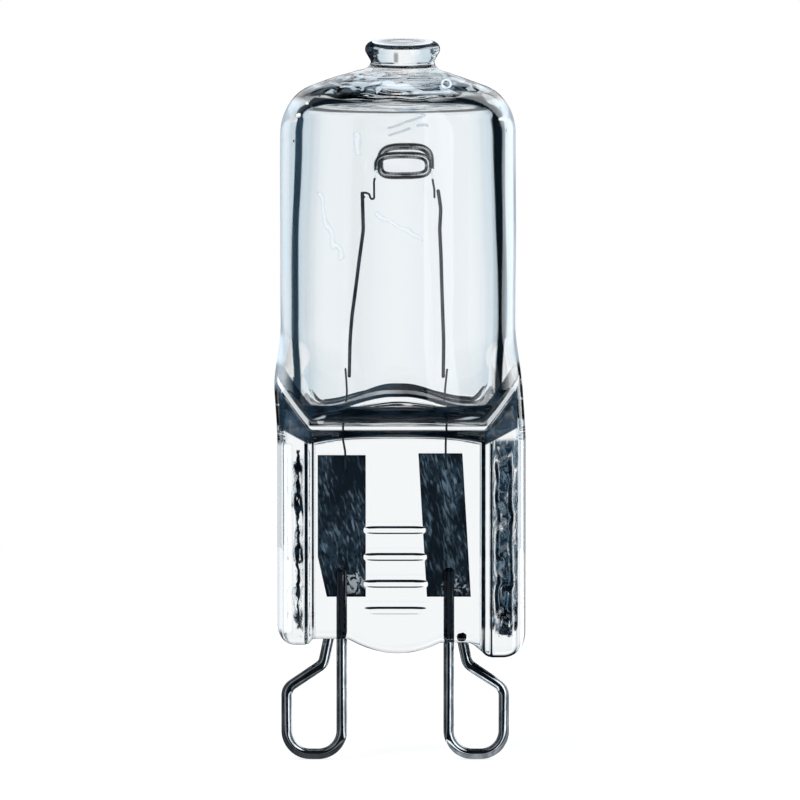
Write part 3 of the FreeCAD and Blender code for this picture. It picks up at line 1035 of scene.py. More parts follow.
@dataclass
class Envelope:
    """The one piece of quartz glass: bulb, exhaust stub and pressed seal round a closed hollow."""

    tube_radius: float = 6.53
    shoulder_radius: float = 6.88
    shoulder_corner: float = 2.55
    shoulder_z: float = 17.85
    flare_height: float = 3.8
    crown_z: float = 38.45
    crown_rise: float = 3.65
    crown_corner: float = 2.9
    crown_radius: float = 12.06
    crown_reach: float = 6.0
    crown_sink: float = 0.13
    ripple: float = 0.022
    ripple_pitch: float = 0.62
    tube_z: tuple[Span, Span] = ((21.0, 24.0), (35.5, 38.0))
    stub_height: float = 1.37
    stub_radius: float = 2.075
    stub_neck: float = 1.76
    stub_rim: float = 0.4
    stub_dish: float = 0.3
    stub_fillet: float = 0.5
    stub_foot: Place = (0.32, 0.57)
    stub_lean: float = 6.0
    seal_x: float = 0.34
    web_half: float = 1.5
    rib_inner: Place = (-4.84, 5.30)
    rib_draft: float = 0.3
    left_steps: Sequence[tuple[float, float, float]] = ((-5.04, 0.22, 0.5), (-4.62, 0.12, 0.25))
    right_steps: Sequence[tuple[float, float, float]] = ((4.76, 0.22, 0.55), (5.25, 0.12, 0.2))
    rib_foot: Place = (6.54, 5.83)
    rib_foot_corner: Place = (1.0, 1.3)
    web_foot: Place = (6.8, 6.6)
    web_end_right: float = 3.97
    left_groove: tuple[float, float, float] = (-5.33, 0.2, 0.26)
    right_groove: tuple[float, float, float] = (5.62, 6.36, 0.34)
    lobe: Span = (-2.62, 2.53)
    lobe_drop: float = 0.7
    slope: Sequence[Place] = (
        (1.1, 21.6),
        (1.05, 20.6),
        (1.0, 20.2),
        (0.97, 19.98),
        (0.93, 19.8),
        (0.86, 19.62),
        (0.74, 19.4),
        (0.54, 19.16),
        (0.34, 18.96),
        (0.24, 18.86),
        (0.175, 18.76),
        (0.165, 18.3),
        (0.12, 18.22),
        (0.06, 18.12),
        (0.02, 18.0),
        (-0.02, 17.85),
    )
    slope_blur: float = 0.06
    cove: float = 0.1
    shoulder_reach: Span = (17.6, 21.6)
    slope_zone: Span = (17.8, 19.8)
    seal_top: float = 17.3
    foot_edge: float = 0.4
    hollow_radius: Place = (5.42, 5.72)
    floor_z: float = 19.7
    floor_tight: float = 0.8
    ceiling_z: float = 36.72
    ceiling_sag: float = 0.12
    ceiling_uneven: float = 0.06
    ceiling_corner: Place = (1.9, 1.3)
    floor_corner: Place = (1.25, 1.5)
    floor_arch: Place = (3.0, 0.8)
    bars: int = 4
    bar_z: float = 8.39
    bar_pitch: float = 1.49
    bar_width: float = 0.46
    bar_height: float = 0.15
    bar_edge: float = 0.12
    bar_length: float = 2.72
    bar_reach: float = 0.3
    bars_z: Span = (8.0, 13.3)
    dense: Sequence[tuple[float, float, float]] = ((-4.75, 0.34, 4.5), (5.05, 0.34, 4.5))
    around: int = 240
    around_hollow: int = 144
    bubbles: Sequence[tuple[float, float, float, float]] = field(
        default_factory=lambda: (
            (-5.28, -3.2, 35.83, 0.17),
            (-5.94, -1.2, 34.39, 0.10),
            (-4.84, -3.6, 36.5, 0.09),
            (-4.0, -2.0, 37.0, 0.08),
            (5.58, -2.0, 36.1, 0.13),
            (6.3, -0.6, 34.88, 0.09),
            (2.37, -1.0, 37.3, 0.10),
            (2.81, -2.2, 37.45, 0.22),
            (-4.67, -2.4, 19.3, 0.16),
            (-4.12, -2.8, 18.98, 0.20),
            (-2.73, -2.2, 19.04, 0.13),
        )
    )

    def crown_height(self, reach: np.ndarray) -> np.ndarray:
        """The height of the crown's low dome at a distance from the bulb's axis."""
        reach = np.minimum(reach, self.crown_reach)
        return self.crown_z - (self.crown_radius - np.sqrt(self.crown_radius**2 - reach**2))

    def stub_profile(self) -> list[Place]:
        """Radius and height above the crown's top, from the middle of the dish to the fillet."""
        rim = self.stub_radius - self.stub_rim
        dish = [
            (rim * share, self.stub_height - self.stub_dish * (1.0 - share * share))
            for share in np.linspace(0.0, 1.0, 9)[:-1]
        ]
        lip_centre = (rim, self.stub_height - self.stub_rim)
        lip = arc(lip_centre, (self.stub_rim, self.stub_rim), 90.0, -20.0, 9)
        foot_z, foot_drop = self.stub_foot
        waist = run(lip[-1], (self.stub_neck, foot_z), 7)[1:]
        fillet_centre = (self.stub_neck + self.stub_fillet, foot_z)
        fillet = arc(fillet_centre, (self.stub_fillet, foot_drop), 180.0, 262.0, 8)
        return dish + lip + waist + fillet

    def stub_rows(self, angles: np.ndarray) -> list[np.ndarray]:
        """The rings of the exhaust stub, leaning a little to the front.

        Args:
            angles: the angle of each point of a ring.

        Returns:
            One ring of points for each step of the profile.
        """
        rows = []
        lean = math.radians(self.stub_lean)
        profile = self.stub_profile()
        for i, (radius, height) in enumerate(profile):
            held = 1.0 - float(rise(i, len(profile) - 9, len(profile) - 1))
            x = STUB_X + radius * np.cos(angles)
            y = radius * np.sin(angles)
            z = np.full_like(x, height)
            turned_y = y * math.cos(lean * held) - z * math.sin(lean * held)
            turned_z = y * math.sin(lean * held) + z * math.cos(lean * held)
            dome = self.crown_height(np.hypot(x - BULB_X, turned_y))
            foot = float(rise(i, len(profile) - 7, len(profile) - 1))
            drop = (dome - self.crown_z) * foot + 0.25 * foot
            rows.append(np.stack([x, turned_y, self.crown_z + turned_z + drop], 1))
        return rows

    def side_radius(self, z: np.ndarray) -> np.ndarray:
        """The radius of the tube and its flare at each height."""
        flare_z = self.shoulder_z + self.shoulder_corner
        swell = 1.0 - rise(z, flare_z, flare_z + self.flare_height)
        return self.tube_radius + (self.shoulder_radius - self.tube_radius) * swell

    def press_half(self, x: np.ndarray, z: np.ndarray) -> np.ndarray:
        """Half the depth that the press leaves: full tube, flat shoulder, cove and web.

        Args:
            x: the place across the lamp.
            z: the height.

        Returns:
            Half the depth there. The slope climbs to a facet at each side.
        """
        start, end = FACET_X
        side = np.clip((np.abs(x - BULB_X) - start) / (end - start), 0.0, 1.1)
        top = self.shoulder_reach[1]
        lift = FACET_LIFT * side**FACET_CURVE * rise(z, FACET_FOOT, FACET_FOOT + FACET_FADE)
        lowered = z - lift * (1.0 - rise(z, top - 1.2, top))
        dip = WEB_DIP * np.minimum(np.abs(x - BULB_X) / start, 1.0) ** 3
        lowered = lowered + dip * (1.0 - rise(lowered, 18.05, 18.3))
        heights = [height for _, height in reversed(self.slope)]
        shares = [share for share, _ in reversed(self.slope)]
        offsets = np.linspace(-self.slope_blur, self.slope_blur, 9)
        share = sum(np.interp(lowered + offset, heights, shares) for offset in offsets) / 9.0
        return self.web_half + (self.tube_radius - self.web_half) * share

    def bulb_profile(self) -> list[Place]:
        """Radius and height of the crown, its corner, the tube and the upper flare."""
        across = self.tube_radius - self.crown_corner
        corner_z = self.crown_z - self.crown_rise
        centre_z = self.crown_z - self.crown_radius
        tilt = math.degrees(math.atan2(corner_z - centre_z, across))
        start = self.stub_neck + self.stub_fillet + 0.12
        meet_x = self.crown_radius * math.cos(math.radians(tilt))
        crown = [
            (radius, float(self.crown_height(np.array(radius))))
            for radius in np.linspace(start, meet_x, 26)
        ]
        corner = arc((across, corner_z), (self.crown_corner,) * 2, tilt, 0.0, 24)[1:]
        flare_top = self.shoulder_z + self.shoulder_corner + self.flare_height
        tube = run(corner[-1], (self.tube_radius, flare_top), 28)[1:]
        heights = np.linspace(flare_top, self.shoulder_reach[1], 9)[:-1]
        flare = [(float(self.side_radius(height)), float(height)) for height in heights]
        return crown + corner + tube + flare

    def bulb_rows(self, angles: np.ndarray) -> list[np.ndarray]:
        """The rings of the bulb above its shoulder, moving over from the stub's axis to its own."""
        rows = []
        for radius, height in self.bulb_profile():
            own = float(rise(radius, self.stub_neck + self.stub_fillet, 4.6))
            x = STUB_X + (BULB_X - STUB_X) * own + radius * np.cos(angles)
            y = min(radius, self.tube_radius) * np.sin(angles)
            z = np.full_like(x, height)
            if own < 1.0:
                z = self.crown_height(np.hypot(x - BULB_X, y))
            uneven = mottle(x * 0.7 + 9.0, y * 0.7 + 9.0, 13) + 0.25 * mottle(x * 1.3, y * 1.3, 14)
            middle = float(rise(radius, 2.4, 3.0) * (1.0 - rise(radius, 4.2, 5.6)))
            near = float(rise(radius, 2.3, 2.6) * (1.0 - rise(radius, 3.8, 4.6)))
            forward = rise(-np.sin(angles), 0.6, 0.9)
            ring = 2.0 * math.pi * radius / self.ripple_pitch + 3.0 * mottle(x * 0.8, y * 0.3, 15)
            sink = self.crown_sink * middle * uneven + self.ripple * near * forward * np.cos(ring)
            z = z - sink * (height > self.crown_z - self.crown_rise)
            rows.append(np.stack([x, y, z], 1))
        return rows

    def seal_half(self, x: np.ndarray) -> np.ndarray:
        """Half the seal's thickness at each x: web, stepped edges of the ribs, and round sides."""
        half = np.full_like(x, self.web_half)
        for start, width, tall in self.left_steps:
            half = half + tall * (1.0 - rise(x, start, start + width))
        for start, width, tall in self.right_steps:
            half = half + tall * rise(x, start, start + width)
        side = np.sqrt(np.maximum(self.shoulder_radius**2 - (x - self.seal_x) ** 2, 0.0))
        return np.maximum(soft_least(side, half, 0.9), 0.0)

    def rib_grooves(self, x: np.ndarray, z: np.ndarray) -> np.ndarray:
        """How deep the press marks are: a thin groove in the left rib, a trough in the right."""
        wander = 0.16 * (mottle(z * 1.1, z * 0.0, 3) - 0.5)
        wander = wander + 0.10 * (mottle(z * 3.0, z * 0.0, 4) - 0.5)
        middle, half_width, depth = self.left_groove
        uneven = 0.35 + 0.9 * mottle(x * 1.5, z * 2.2, 5)
        left = depth * uneven * np.exp(-(((x - middle - wander) / half_width) ** 2))
        start, end, depth = self.right_groove
        inside = rise(x, start + wander - 0.12, start + wander + 0.12)
        inside = inside * (1.0 - rise(x, end + wander - 0.12, end + wander + 0.14))
        rough = 0.55 + 0.9 * mottle(x * 2.6, z * 1.9, 6) - 0.35 * mottle(x * 5.0, z * 4.0, 7)
        top = self.seal_top
        ends = rise(z, 7.0, 8.2) * (1.0 - rise(z, top - 0.9, top - 0.1))
        return (left + depth * inside * rough) * ends

    def foot_height(self, x: np.ndarray) -> np.ndarray:
        """The height of the seal's lower edge at each x: feet of the ribs, web and lobe."""
        left, right = self.rib_inner
        low_left, low_right = self.rib_foot
        web_left, web_right = self.web_foot
        foot = np.full_like(x, web_left)
        share = np.clip((x - self.lobe[0]) / (self.lobe[1] - self.lobe[0]), 0.0, 1.0)
        foot += (web_right - web_left) * share - 4.0 * self.lobe_drop * share * (1.0 - share)
        foot += (low_left - web_left) * (1.0 - rise(x, left, left + self.rib_draft))
        foot += (low_right - web_right) * rise(x, self.web_end_right, right)
        edges = (self.seal_x - self.shoulder_radius, self.seal_x + self.shoulder_radius)
        for edge, radius in zip(edges, self.rib_foot_corner):
            inside = np.clip(radius - np.abs(x - edge), 0.0, radius)
            foot += radius - np.sqrt(np.maximum(radius**2 - inside**2, 0.0))
        return foot

    def shoulder_rows(self, angles: np.ndarray) -> list[np.ndarray]:
        """The rings in which the round bulb turns into the flat seal."""
        low, high = self.shoulder_reach
        rows = []
        sign = np.sign(np.sin(angles))
        ledge, slope_top = self.slope_zone
        runs = ((high, slope_top, 16), (slope_top, ledge, 56), (ledge, self.seal_top, 6))
        for height in np.concatenate([np.linspace(*places)[:-1] for places in runs]):
            share = float(rise(height, high, low))
            middle = BULB_X + (self.seal_x - BULB_X) * share
            radius = float(self.side_radius(height))
            x = middle + radius * np.cos(angles)
            z = np.full_like(x, height)
            bulb = self.tube_radius * np.abs(np.sin(angles))
            bulb = soft_least(bulb, self.press_half(x, z + sign * SLOPE_LAG), 0.5 * share)
            seal = self.seal_half(self.seal_x + radius * np.cos(angles))
            seal = np.minimum(seal, radius * np.abs(np.sin(angles)))
            below = float(rise(height, high, high - 1.5))
            half = soft_most(bulb, seal * below, self.cove * share)
            rows.append(np.stack([x, sign * half, z], 1))
        return rows

    def seal_rows(self, angles: np.ndarray) -> list[np.ndarray]:
        """The rings of the pressed seal, down to its rounded and closed lower edge."""
        rows = []
        sign = np.sign(np.sin(angles))
        x = self.seal_x + self.shoulder_radius * np.cos(angles)
        half = self.seal_half(x)
        foot = self.foot_height(x) + self.foot_edge
        calm, top = self.bars_z
        heights = [np.linspace(self.seal_top, top, 24)]
        for i in reversed(range(self.bars)):
            middle = self.bar_z + i * self.bar_pitch
            low = middle - self.bar_reach
            heights.append(np.linspace(middle + self.bar_reach, low, 19))
            if i:
                below = middle - self.bar_pitch + self.bar_reach
                heights.append(np.linspace(low, below, 6)[1:-1])
        heights.append([calm])
        for height in np.concatenate(heights):
            z = np.full_like(x, height)
            rows.append(np.stack([x, sign * (half - self.rib_grooves(x, z)), z], 1))
        for share in np.linspace(0.0, 1.0, 12)[1:]:
            z = calm + (foot - calm) * share
            rows.append(np.stack([x, sign * (half - self.rib_grooves(x, z)), z], 1))
        edge = np.minimum(self.foot_edge, half * 0.8)
        for angle in np.radians(np.linspace(0.0, 90.0, 8)[1:]):
            inner = half - edge * (1.0 - math.cos(angle))
            z = foot - self.foot_edge * math.sin(angle)
            rows.append(np.stack([x, sign * inner, z], 1))
        for share in (0.7, 0.35, 0.0):
            rows.append(np.stack([x, sign * (half - edge) * share, foot - self.foot_edge], 1))
        return rows

    def ring_angles(self) -> np.ndarray:
        """Where the points of an outer ring lie, closer together at the ribs' edges and marks."""
        fine = np.linspace(0.0, math.pi, 2001)
        x = self.seal_x + self.shoulder_radius * np.cos(fine)
        density = np.ones_like(fine)
        for middle, reach, gain in (
            *self.dense,
            (self.left_groove[0], 0.3, 1.2),
            (sum(self.right_groove[:2]) / 2.0, 0.5, 0.8),
        ):
            density += gain * np.exp(-(((x - middle) / reach) ** 2))
        share = np.concatenate([[0.0], np.cumsum((density[1:] + density[:-1]) / 2.0)])
        half = self.around // 2
        wanted = (np.arange(half) + 0.5) / half * share[-1]
        front = np.interp(wanted, share, fine)
        return np.concatenate([front, 2.0 * math.pi - front[::-1]])

    def outer_rows(self) -> np.ndarray:
        """All rings of the outer skin, from the stub's dish down to the seal's lower edge."""
        angles = self.ring_angles()
        rows = self.stub_rows(angles) + self.bulb_rows(angles)
        rows += self.shoulder_rows(angles) + self.seal_rows(angles)
        rows = np.array(rows)
        x, y, z = rows[..., 0], rows[..., 1], rows[..., 2]
        low, high = self.tube_z
        on_tube = rise(z, *low) * (1.0 - rise(z, *high))
        turn = np.arctan2(y, x)
        sway = 0.012 * np.sin(2.0 * turn + 0.45 * z + 0.4) + 0.008 * np.sin(3.0 * turn - 0.8 * z)
        scale = 1.0 - (0.02 - sway) * on_tube / self.tube_radius
        rows[..., 0] = BULB_X + (x - BULB_X) * scale
        rows[..., 1] = y * scale
        return rows

    def hollow_profile(self) -> list[Place]:
        """Radius and height of the hollow's ceiling, wall and floor."""
        top, bottom = self.hollow_radius
        wide, tall = self.ceiling_corner
        flat = top - wide
        profile = [
            (radius, self.ceiling_z - self.ceiling_sag * (1.0 - (radius / flat) ** 2))
            for radius in np.linspace(0.0, flat, 18)[:-1]
        ]
        profile += arc((flat, self.ceiling_z - tall), (wide, tall), 90.0, 0.0, 18)
        wide, tall = self.floor_corner
        profile += run(profile[-1], (bottom, self.floor_z + tall), 28)[1:]
        profile += arc((bottom - wide, self.floor_z + tall), (wide, tall), 0.0, -90.0, 18)
        for radius in np.linspace(bottom - wide, 0.0, 26)[1:]:
            profile.append((radius, self.floor_z))
        return profile

    def hollow_rows(self) -> np.ndarray:
        """All rings of the hollow, from the middle of its ceiling to the middle of its floor."""
        bottom = self.hollow_radius[1]
        wide, tall = self.floor_corner
        angles = np.linspace(0.0, 2.0 * math.pi, self.around_hollow, endpoint=False)
        rows = []
        for radius, height in self.hollow_profile():
            sway = 0.02 * np.sin(2.0 * angles + 0.5 * height) * float(rise(radius, 3.0, 5.0))
            x = BULB_X + (radius - 0.02 + sway) * np.cos(angles) * (radius > 0.0)
            tight = 1.0 - self.floor_tight * rise(np.abs(np.sin(angles)), 0.0, 0.6)
            above = float(height) - self.floor_z
            if above < tall:
                reach = min(radius, bottom - wide) * (bottom - wide * tight) / (bottom - wide)
                reach = reach + max(radius - (bottom - wide), 0.0) * tight
                scale = reach / max(radius, 1e-6)
                z = self.floor_z + above * tight
            else:
                scale = np.ones_like(x)
                z = height - tall * (1.0 - tight) * max(0.0, 1.0 - (above - tall) / 2.5)
            x = BULB_X + (x - BULB_X) * scale
            y = (radius - 0.02 + sway) * np.sin(angles) * (radius > 0.0) * scale
            ceiling = float(rise(height, self.ceiling_z - 0.4, self.ceiling_z - self.ceiling_sag))
            uneven = (mottle(x * 0.9 + 9.0, y * 0.9 + 9.0, 11) - 0.5) * (radius > 0.0)
            z = z + self.ceiling_uneven * ceiling * uneven
            rows.append(np.stack([x, y, z + np.zeros_like(x)], 1))
        rows = np.array(rows)
        reach, arch = self.floor_arch
        low = 1.0 - rise(rows[..., 2], self.floor_z, self.floor_z + 1.5)
        across = rise(np.abs(rows[..., 0] - BULB_X), reach * 1.35, 0.3)
        rows[..., 2] += low * arch * across
        return rows

    def press_marks(self, material: bpy.types.Material) -> Shaper:
        """The tree that raises the ladder of bars on the front face of the web.

        Args:
            material: the glass of the outer skin.

        Returns:
            The tree, with its sizes as named inputs.
        """
        shaper = Shaper(
            "press_marks",
            count=self.bars,
            lowest=self.bar_z * MM,
            pitch=self.bar_pitch * MM,
            width=self.bar_width * MM,
            height=self.bar_height * MM,
            edge=self.bar_edge * MM,
            length=self.bar_length * MM,
            web=self.web_half * MM,
        )
        tree, size = shaper.tree, shaper.size
        x, y, z = tree.parts(tree.value("GeometryNodeInputPosition"))
        step = ((z - size("lowest")) / size("pitch")).math("ROUND")
        step = step.math("MAXIMUM", 0.0).math("MINIMUM", size("count") - 1.0)
        up = z - size("lowest") - step * size("pitch")
        along = (abs(x) - size("length") * 0.5).math("MAXIMUM", 0.0)
        inside = size("width") * 0.5 - up.hypot(along)
        raised = (inside / size("edge")).rise(0.0, 1.0) * size("height")
        raised = raised * step.rise(-1.0, 1.0)
        on_web = (-y).math("GREATER_THAN", size("web") * 0.9)
        shift = tree.vector(0.0, raised * y.math("SIGN") * on_web, 0.0)
        moved = tree.moved(shaper.geometry, Offset=shift)
        real = tree.value("GeometryNodeRealizeInstances", None, {0: moved})
        outside = tree.value("GeometryNodeInputMaterialIndex").math("LESS_THAN", 0.5)
        shaper.dress(real, {"Selection": outside, "Material": material})
        return shaper

    def bubble_mesh(self, material: bpy.types.Material) -> bpy.types.Mesh:
        """The few gas bubbles in the glass, as small closed hollows."""
        seeds = new_piece("bubble_seeds")
        seeds.data.from_pydata([Vector(b[:3]) * MM for b in self.bubbles], [], [])
        sizes = seeds.data.attributes.new("bubble_radius", "FLOAT", "POINT")
        sizes.data.foreach_set("value", [b[3] * MM for b in self.bubbles])
        shaper = Shaper("bubbles", flatness=0.8)
        tree = shaper.tree
        ball = tree.value("GeometryNodeMeshIcoSphere", None, {"Radius": 1.0, "Subdivisions": 3})
        settings = {"data_type": "FLOAT"}
        inputs = {"Name": "bubble_radius"}
        radius = tree.value("GeometryNodeInputNamedAttribute", settings, inputs)
        size = tree.vector(radius, radius, radius * shaper.size("flatness"))
        inputs = {"Points": shaper.geometry, "Instance": ball, "Scale": size}
        placed = tree.value("GeometryNodeInstanceOnPoints", None, inputs)
        real = tree.value("GeometryNodeRealizeInstances", None, {0: placed})
        turned = tree.value("GeometryNodeFlipFaces", None, {0: real})
        shaper.close(turned, material)
        shaper.bake(seeds)
        mesh = seeds.data
        bpy.data.objects.remove(seeds)
        return mesh

    def build(self, finish: QuartzFinish) -> bpy.types.Object:
        """Makes the whole envelope.

        Args:
            finish: the glass.

        Returns:
            The finished piece.
        """
        outer = finish.material(Skin.OUTER)
        bore = finish.material(Skin.BORE)
        form = bmesh.new()
        skin(form, self.outer_rows(), 0, False)
        skin(form, self.hollow_rows(), 1, True)
        piece = new_piece("quartz_envelope")
        gas = self.bubble_mesh(finish.material(Skin.BUBBLE))
        for face in gas.polygons:
            face.material_index = 2
        form.from_mesh(gas)
        form.to_mesh(piece.data)
        form.free()
        for surface in (outer, bore, gas.materials[0]):
            piece.data.materials.append(surface)
        self.press_marks(outer).bake(piece)
        return piece


# The metal


@dataclass
class Wiring:
    """Contact loops, lead-in wires and support wires, all of round drawn wire."""

    spacing: float = 9.0
    loop_width: float = 3.06
    loop_wire: float = 0.6
    loop_bend: float = 1.3
    shoulder_bend: float = 0.7
    loop_shoulder: float = 3.95
    loop_neck: float = 5.33
    neck_gap: float = 0.36
    tip_gap: float = 0.06
    tip_z: float = 7.07
    leg_top: float = 10.7
    lead_wire: float = 0.12
    lead_bend: float = 1.2
    support_wire: float = 0.2
    support_bend: float = 2.5
    plane: float = 0.2
    lead_left: Sequence[Place] = (
        (-2.74, 16.04),
        (-2.78, 17.16),
        (-2.92, 17.93),
        (-2.82, 20.2),
        (-2.87, 21.7),
    )
    lead_right: Sequence[Place] = (
        (2.79, 16.14),
        (2.79, 17.54),
        (2.91, 20.65),
        (2.97, 21.7),
    )
    support_left: Sequence[Place] = (
        (-2.67, 21.2),
        (-2.38, 24.69),
        (-2.0, 27.85),
        (-1.79, 29.46),
        (-1.81, 30.18),
        (-1.84, 31.54),
    )
    support_right: Sequence[Place] = (
        (2.77, 21.2),
        (2.64, 24.69),
        (2.53, 27.9),
        (2.44, 29.5),
        (2.5, 30.67),
        (2.36, 31.73),
    )

    def loop_route(self, side: int) -> list[Vector]:
        """The middle line of a contact loop, side being -1 on the left and 1 on the right."""
        inner = side * (self.spacing - self.loop_width) / 2.0
        outer = inner + side * self.loop_width
        tip = inner + side * (self.loop_wire + self.tip_gap)
        low = self.loop_wire / 2.0
        places = [
            (inner, self.leg_top),
            (inner, low),
            (outer, low),
            (outer, self.loop_shoulder),
            (tip + side * self.neck_gap, self.loop_neck),
            (tip, self.tip_z),
        ]
        bends = [0.0, self.loop_bend, self.loop_bend, self.shoulder_bend, self.shoulder_bend, 0.0]
        return rounded_route([Vector((x, 0.0, z)) for x, z in places], bends, 14)

    def thin_route(self, places: Sequence[Place], bend: float) -> list[Vector]:
        """The middle line of a thin wire that lies in the plane of the foils' front faces."""
        points = [Vector((x, self.plane, z)) for x, z in places]
        return rounded_route(points, [bend] * len(points), 8)

    def wire_tree(self, name: str, material: bpy.types.Material, diameter: float) -> Shaper:
        """The tree that draws a round wire with eased ends along a line.

        Args:
            name: the tree's name.
            material: the wire's finish.
            diameter: the wire's diameter.

        Returns:
            The tree, with the diameter and the length of the eased ends as named inputs.
        """
        shaper = Shaper(name, diameter=diameter * MM, easing=diameter * 0.35 * MM)
        tree = shaper.tree
        line = tree.value("GeometryNodeMeshToCurve", None, {0: shaper.geometry})
        fine = tree.resampled(line, "Length", diameter * 0.22 * MM)
        along = tree.value("GeometryNodeSplineParameter", None, None, "Length")
        length = tree.value("GeometryNodeSplineLength")
        from_end = along.math("MINIMUM", length - along)
        share = 1.0 - (from_end / shaper.size("easing")).math("MINIMUM", 1.0)
        scale = (1.0 - share * share * 0.75).root()
        wire = tree.tube(fine, 20, shaper.size("diameter") * 0.5, scale)
        shaper.close(wire, material)
        return shaper

    def draw(self, name: str, route: Sequence[Vector], shaper: Shaper) -> bpy.types.Object:
        """Makes one wire along a route."""
        piece = new_piece(name)
        edges = [(i, i + 1) for i in range(len(route) - 1)]
        piece.data.from_pydata([point * MM for point in route], edges, [])
        shaper.bake(piece)
        return piece

    def build(self, contact: WireFinish, inner: WireFinish) -> dict[str, bpy.types.Object]:
        """Makes all wires.

        Args:
            contact: the finish of the contact loops.
            inner: the finish of the wires inside the glass.

        Returns:
            The pieces by the names of the nodes that they stand for.
        """
        loops = self.wire_tree("loop_wire", contact.material(), self.loop_wire)
        inner_material = inner.material()
        leads = self.wire_tree("lead_wire", inner_material, self.lead_wire)
        holders = self.wire_tree("holder_wire", inner_material, self.support_wire)
        routes = {
            "lead_in_left": (self.lead_left, self.lead_bend, leads),
            "lead_in_right": (self.lead_right, self.lead_bend, leads),
            "support_wire_left": (self.support_left, self.support_bend, holders),
            "support_wire_right": (self.support_right, self.support_bend, holders),
        }
        pieces = {}
        for side, name in ((-1, "contact_loop_left"), (1, "contact_loop_right")):
            pieces[name] = self.draw(name + "_wire", self.loop_route(side), loops)
        for name, (places, bend, shaper) in routes.items():
            pieces[name] = self.draw(name + "_drawn", self.thin_route(places, bend), shaper)
        return pieces


@dataclass
class Foil:
    """A thin foil sealed in the web, slightly crumpled and thinner at its edges."""

    middle: float
    width: float
    bottom: float
    top: float
    lean: float = 0.0
    cut: Place = (0.0, 0.0)
    front: float = 0.25
    thickness: float = 0.04
    crumple: float = 0.006
    across: int = 30
    along: int = 84

    def build(self, name: str, material: bpy.types.Material) -> bpy.types.Object:
        """Makes the foil as a thin closed sheet.

        Args:
            name: the piece's name.
            material: the foil's finish.

        Returns:
            The finished piece.
        """
        form = bmesh.new()
        slope = math.tan(math.radians(self.lean))
        length = self.top - self.bottom
        grid: dict[tuple[int, int, int], bmesh.types.BMVert] = {}
        for j in range(self.along + 1):
            rise_share = j / self.along
            left = -self.width / 2.0
            if self.cut[1] > 0.0:
                left += self.cut[0] * max(0.0, 1.0 - rise_share * length / self.cut[1])
            for i in range(self.across + 1):
                share = i / self.across
                x = self.middle + left + (self.width / 2.0 - left) * share
                x += slope * rise_share * length
                z = self.bottom + rise_share * length
                edge = min(share, 1.0 - share) * self.width
                thin = min(1.0, 0.25 + edge / 0.35)
                dent = self.crumple * math.sin(3.1 * z + 2.0 * math.sin(1.7 * x)) * thin
                middle_y = self.front + self.thickness / 2.0 + dent
                for face, sign in enumerate((-1.0, 1.0)):
                    y = middle_y + sign * (self.thickness / 2.0 - self.crumple) * thin
                    grid[i, j, face] = form.verts.new(Vector((x, y, z)) * MM)
        self.close(form, grid)
        piece = new_piece(name)
        form.to_mesh(piece.data)
        form.free()
        piece.data.materials.append(material)
        return piece

    def close(self, form: bmesh.types.BMesh, grid: dict) -> None:
        """Joins the points of both faces and the rim into one closed skin."""
        for j in range(self.along):
            for i in range(self.across):
                for face in (0, 1):
                    corners = [(i, j), (i + 1, j), (i + 1, j + 1), (i, j + 1)]
                    form.faces.new([grid[a, b, face] for a, b in corners])
        sides = [((i, j), (i, j + 1)) for j in range(self.along) for i in (0, self.across)]
        sides += [((i, j), (i + 1, j)) for i in range(self.across) for j in (0, self.along)]
        for a, b in sides:
            form.faces.new([grid[*a, 0], grid[*b, 0], grid[*b, 1], grid[*a, 1]])
        bmesh.ops.recalc_face_normals(form, faces=form.faces)
        for face in form.faces:
            face.smooth = True


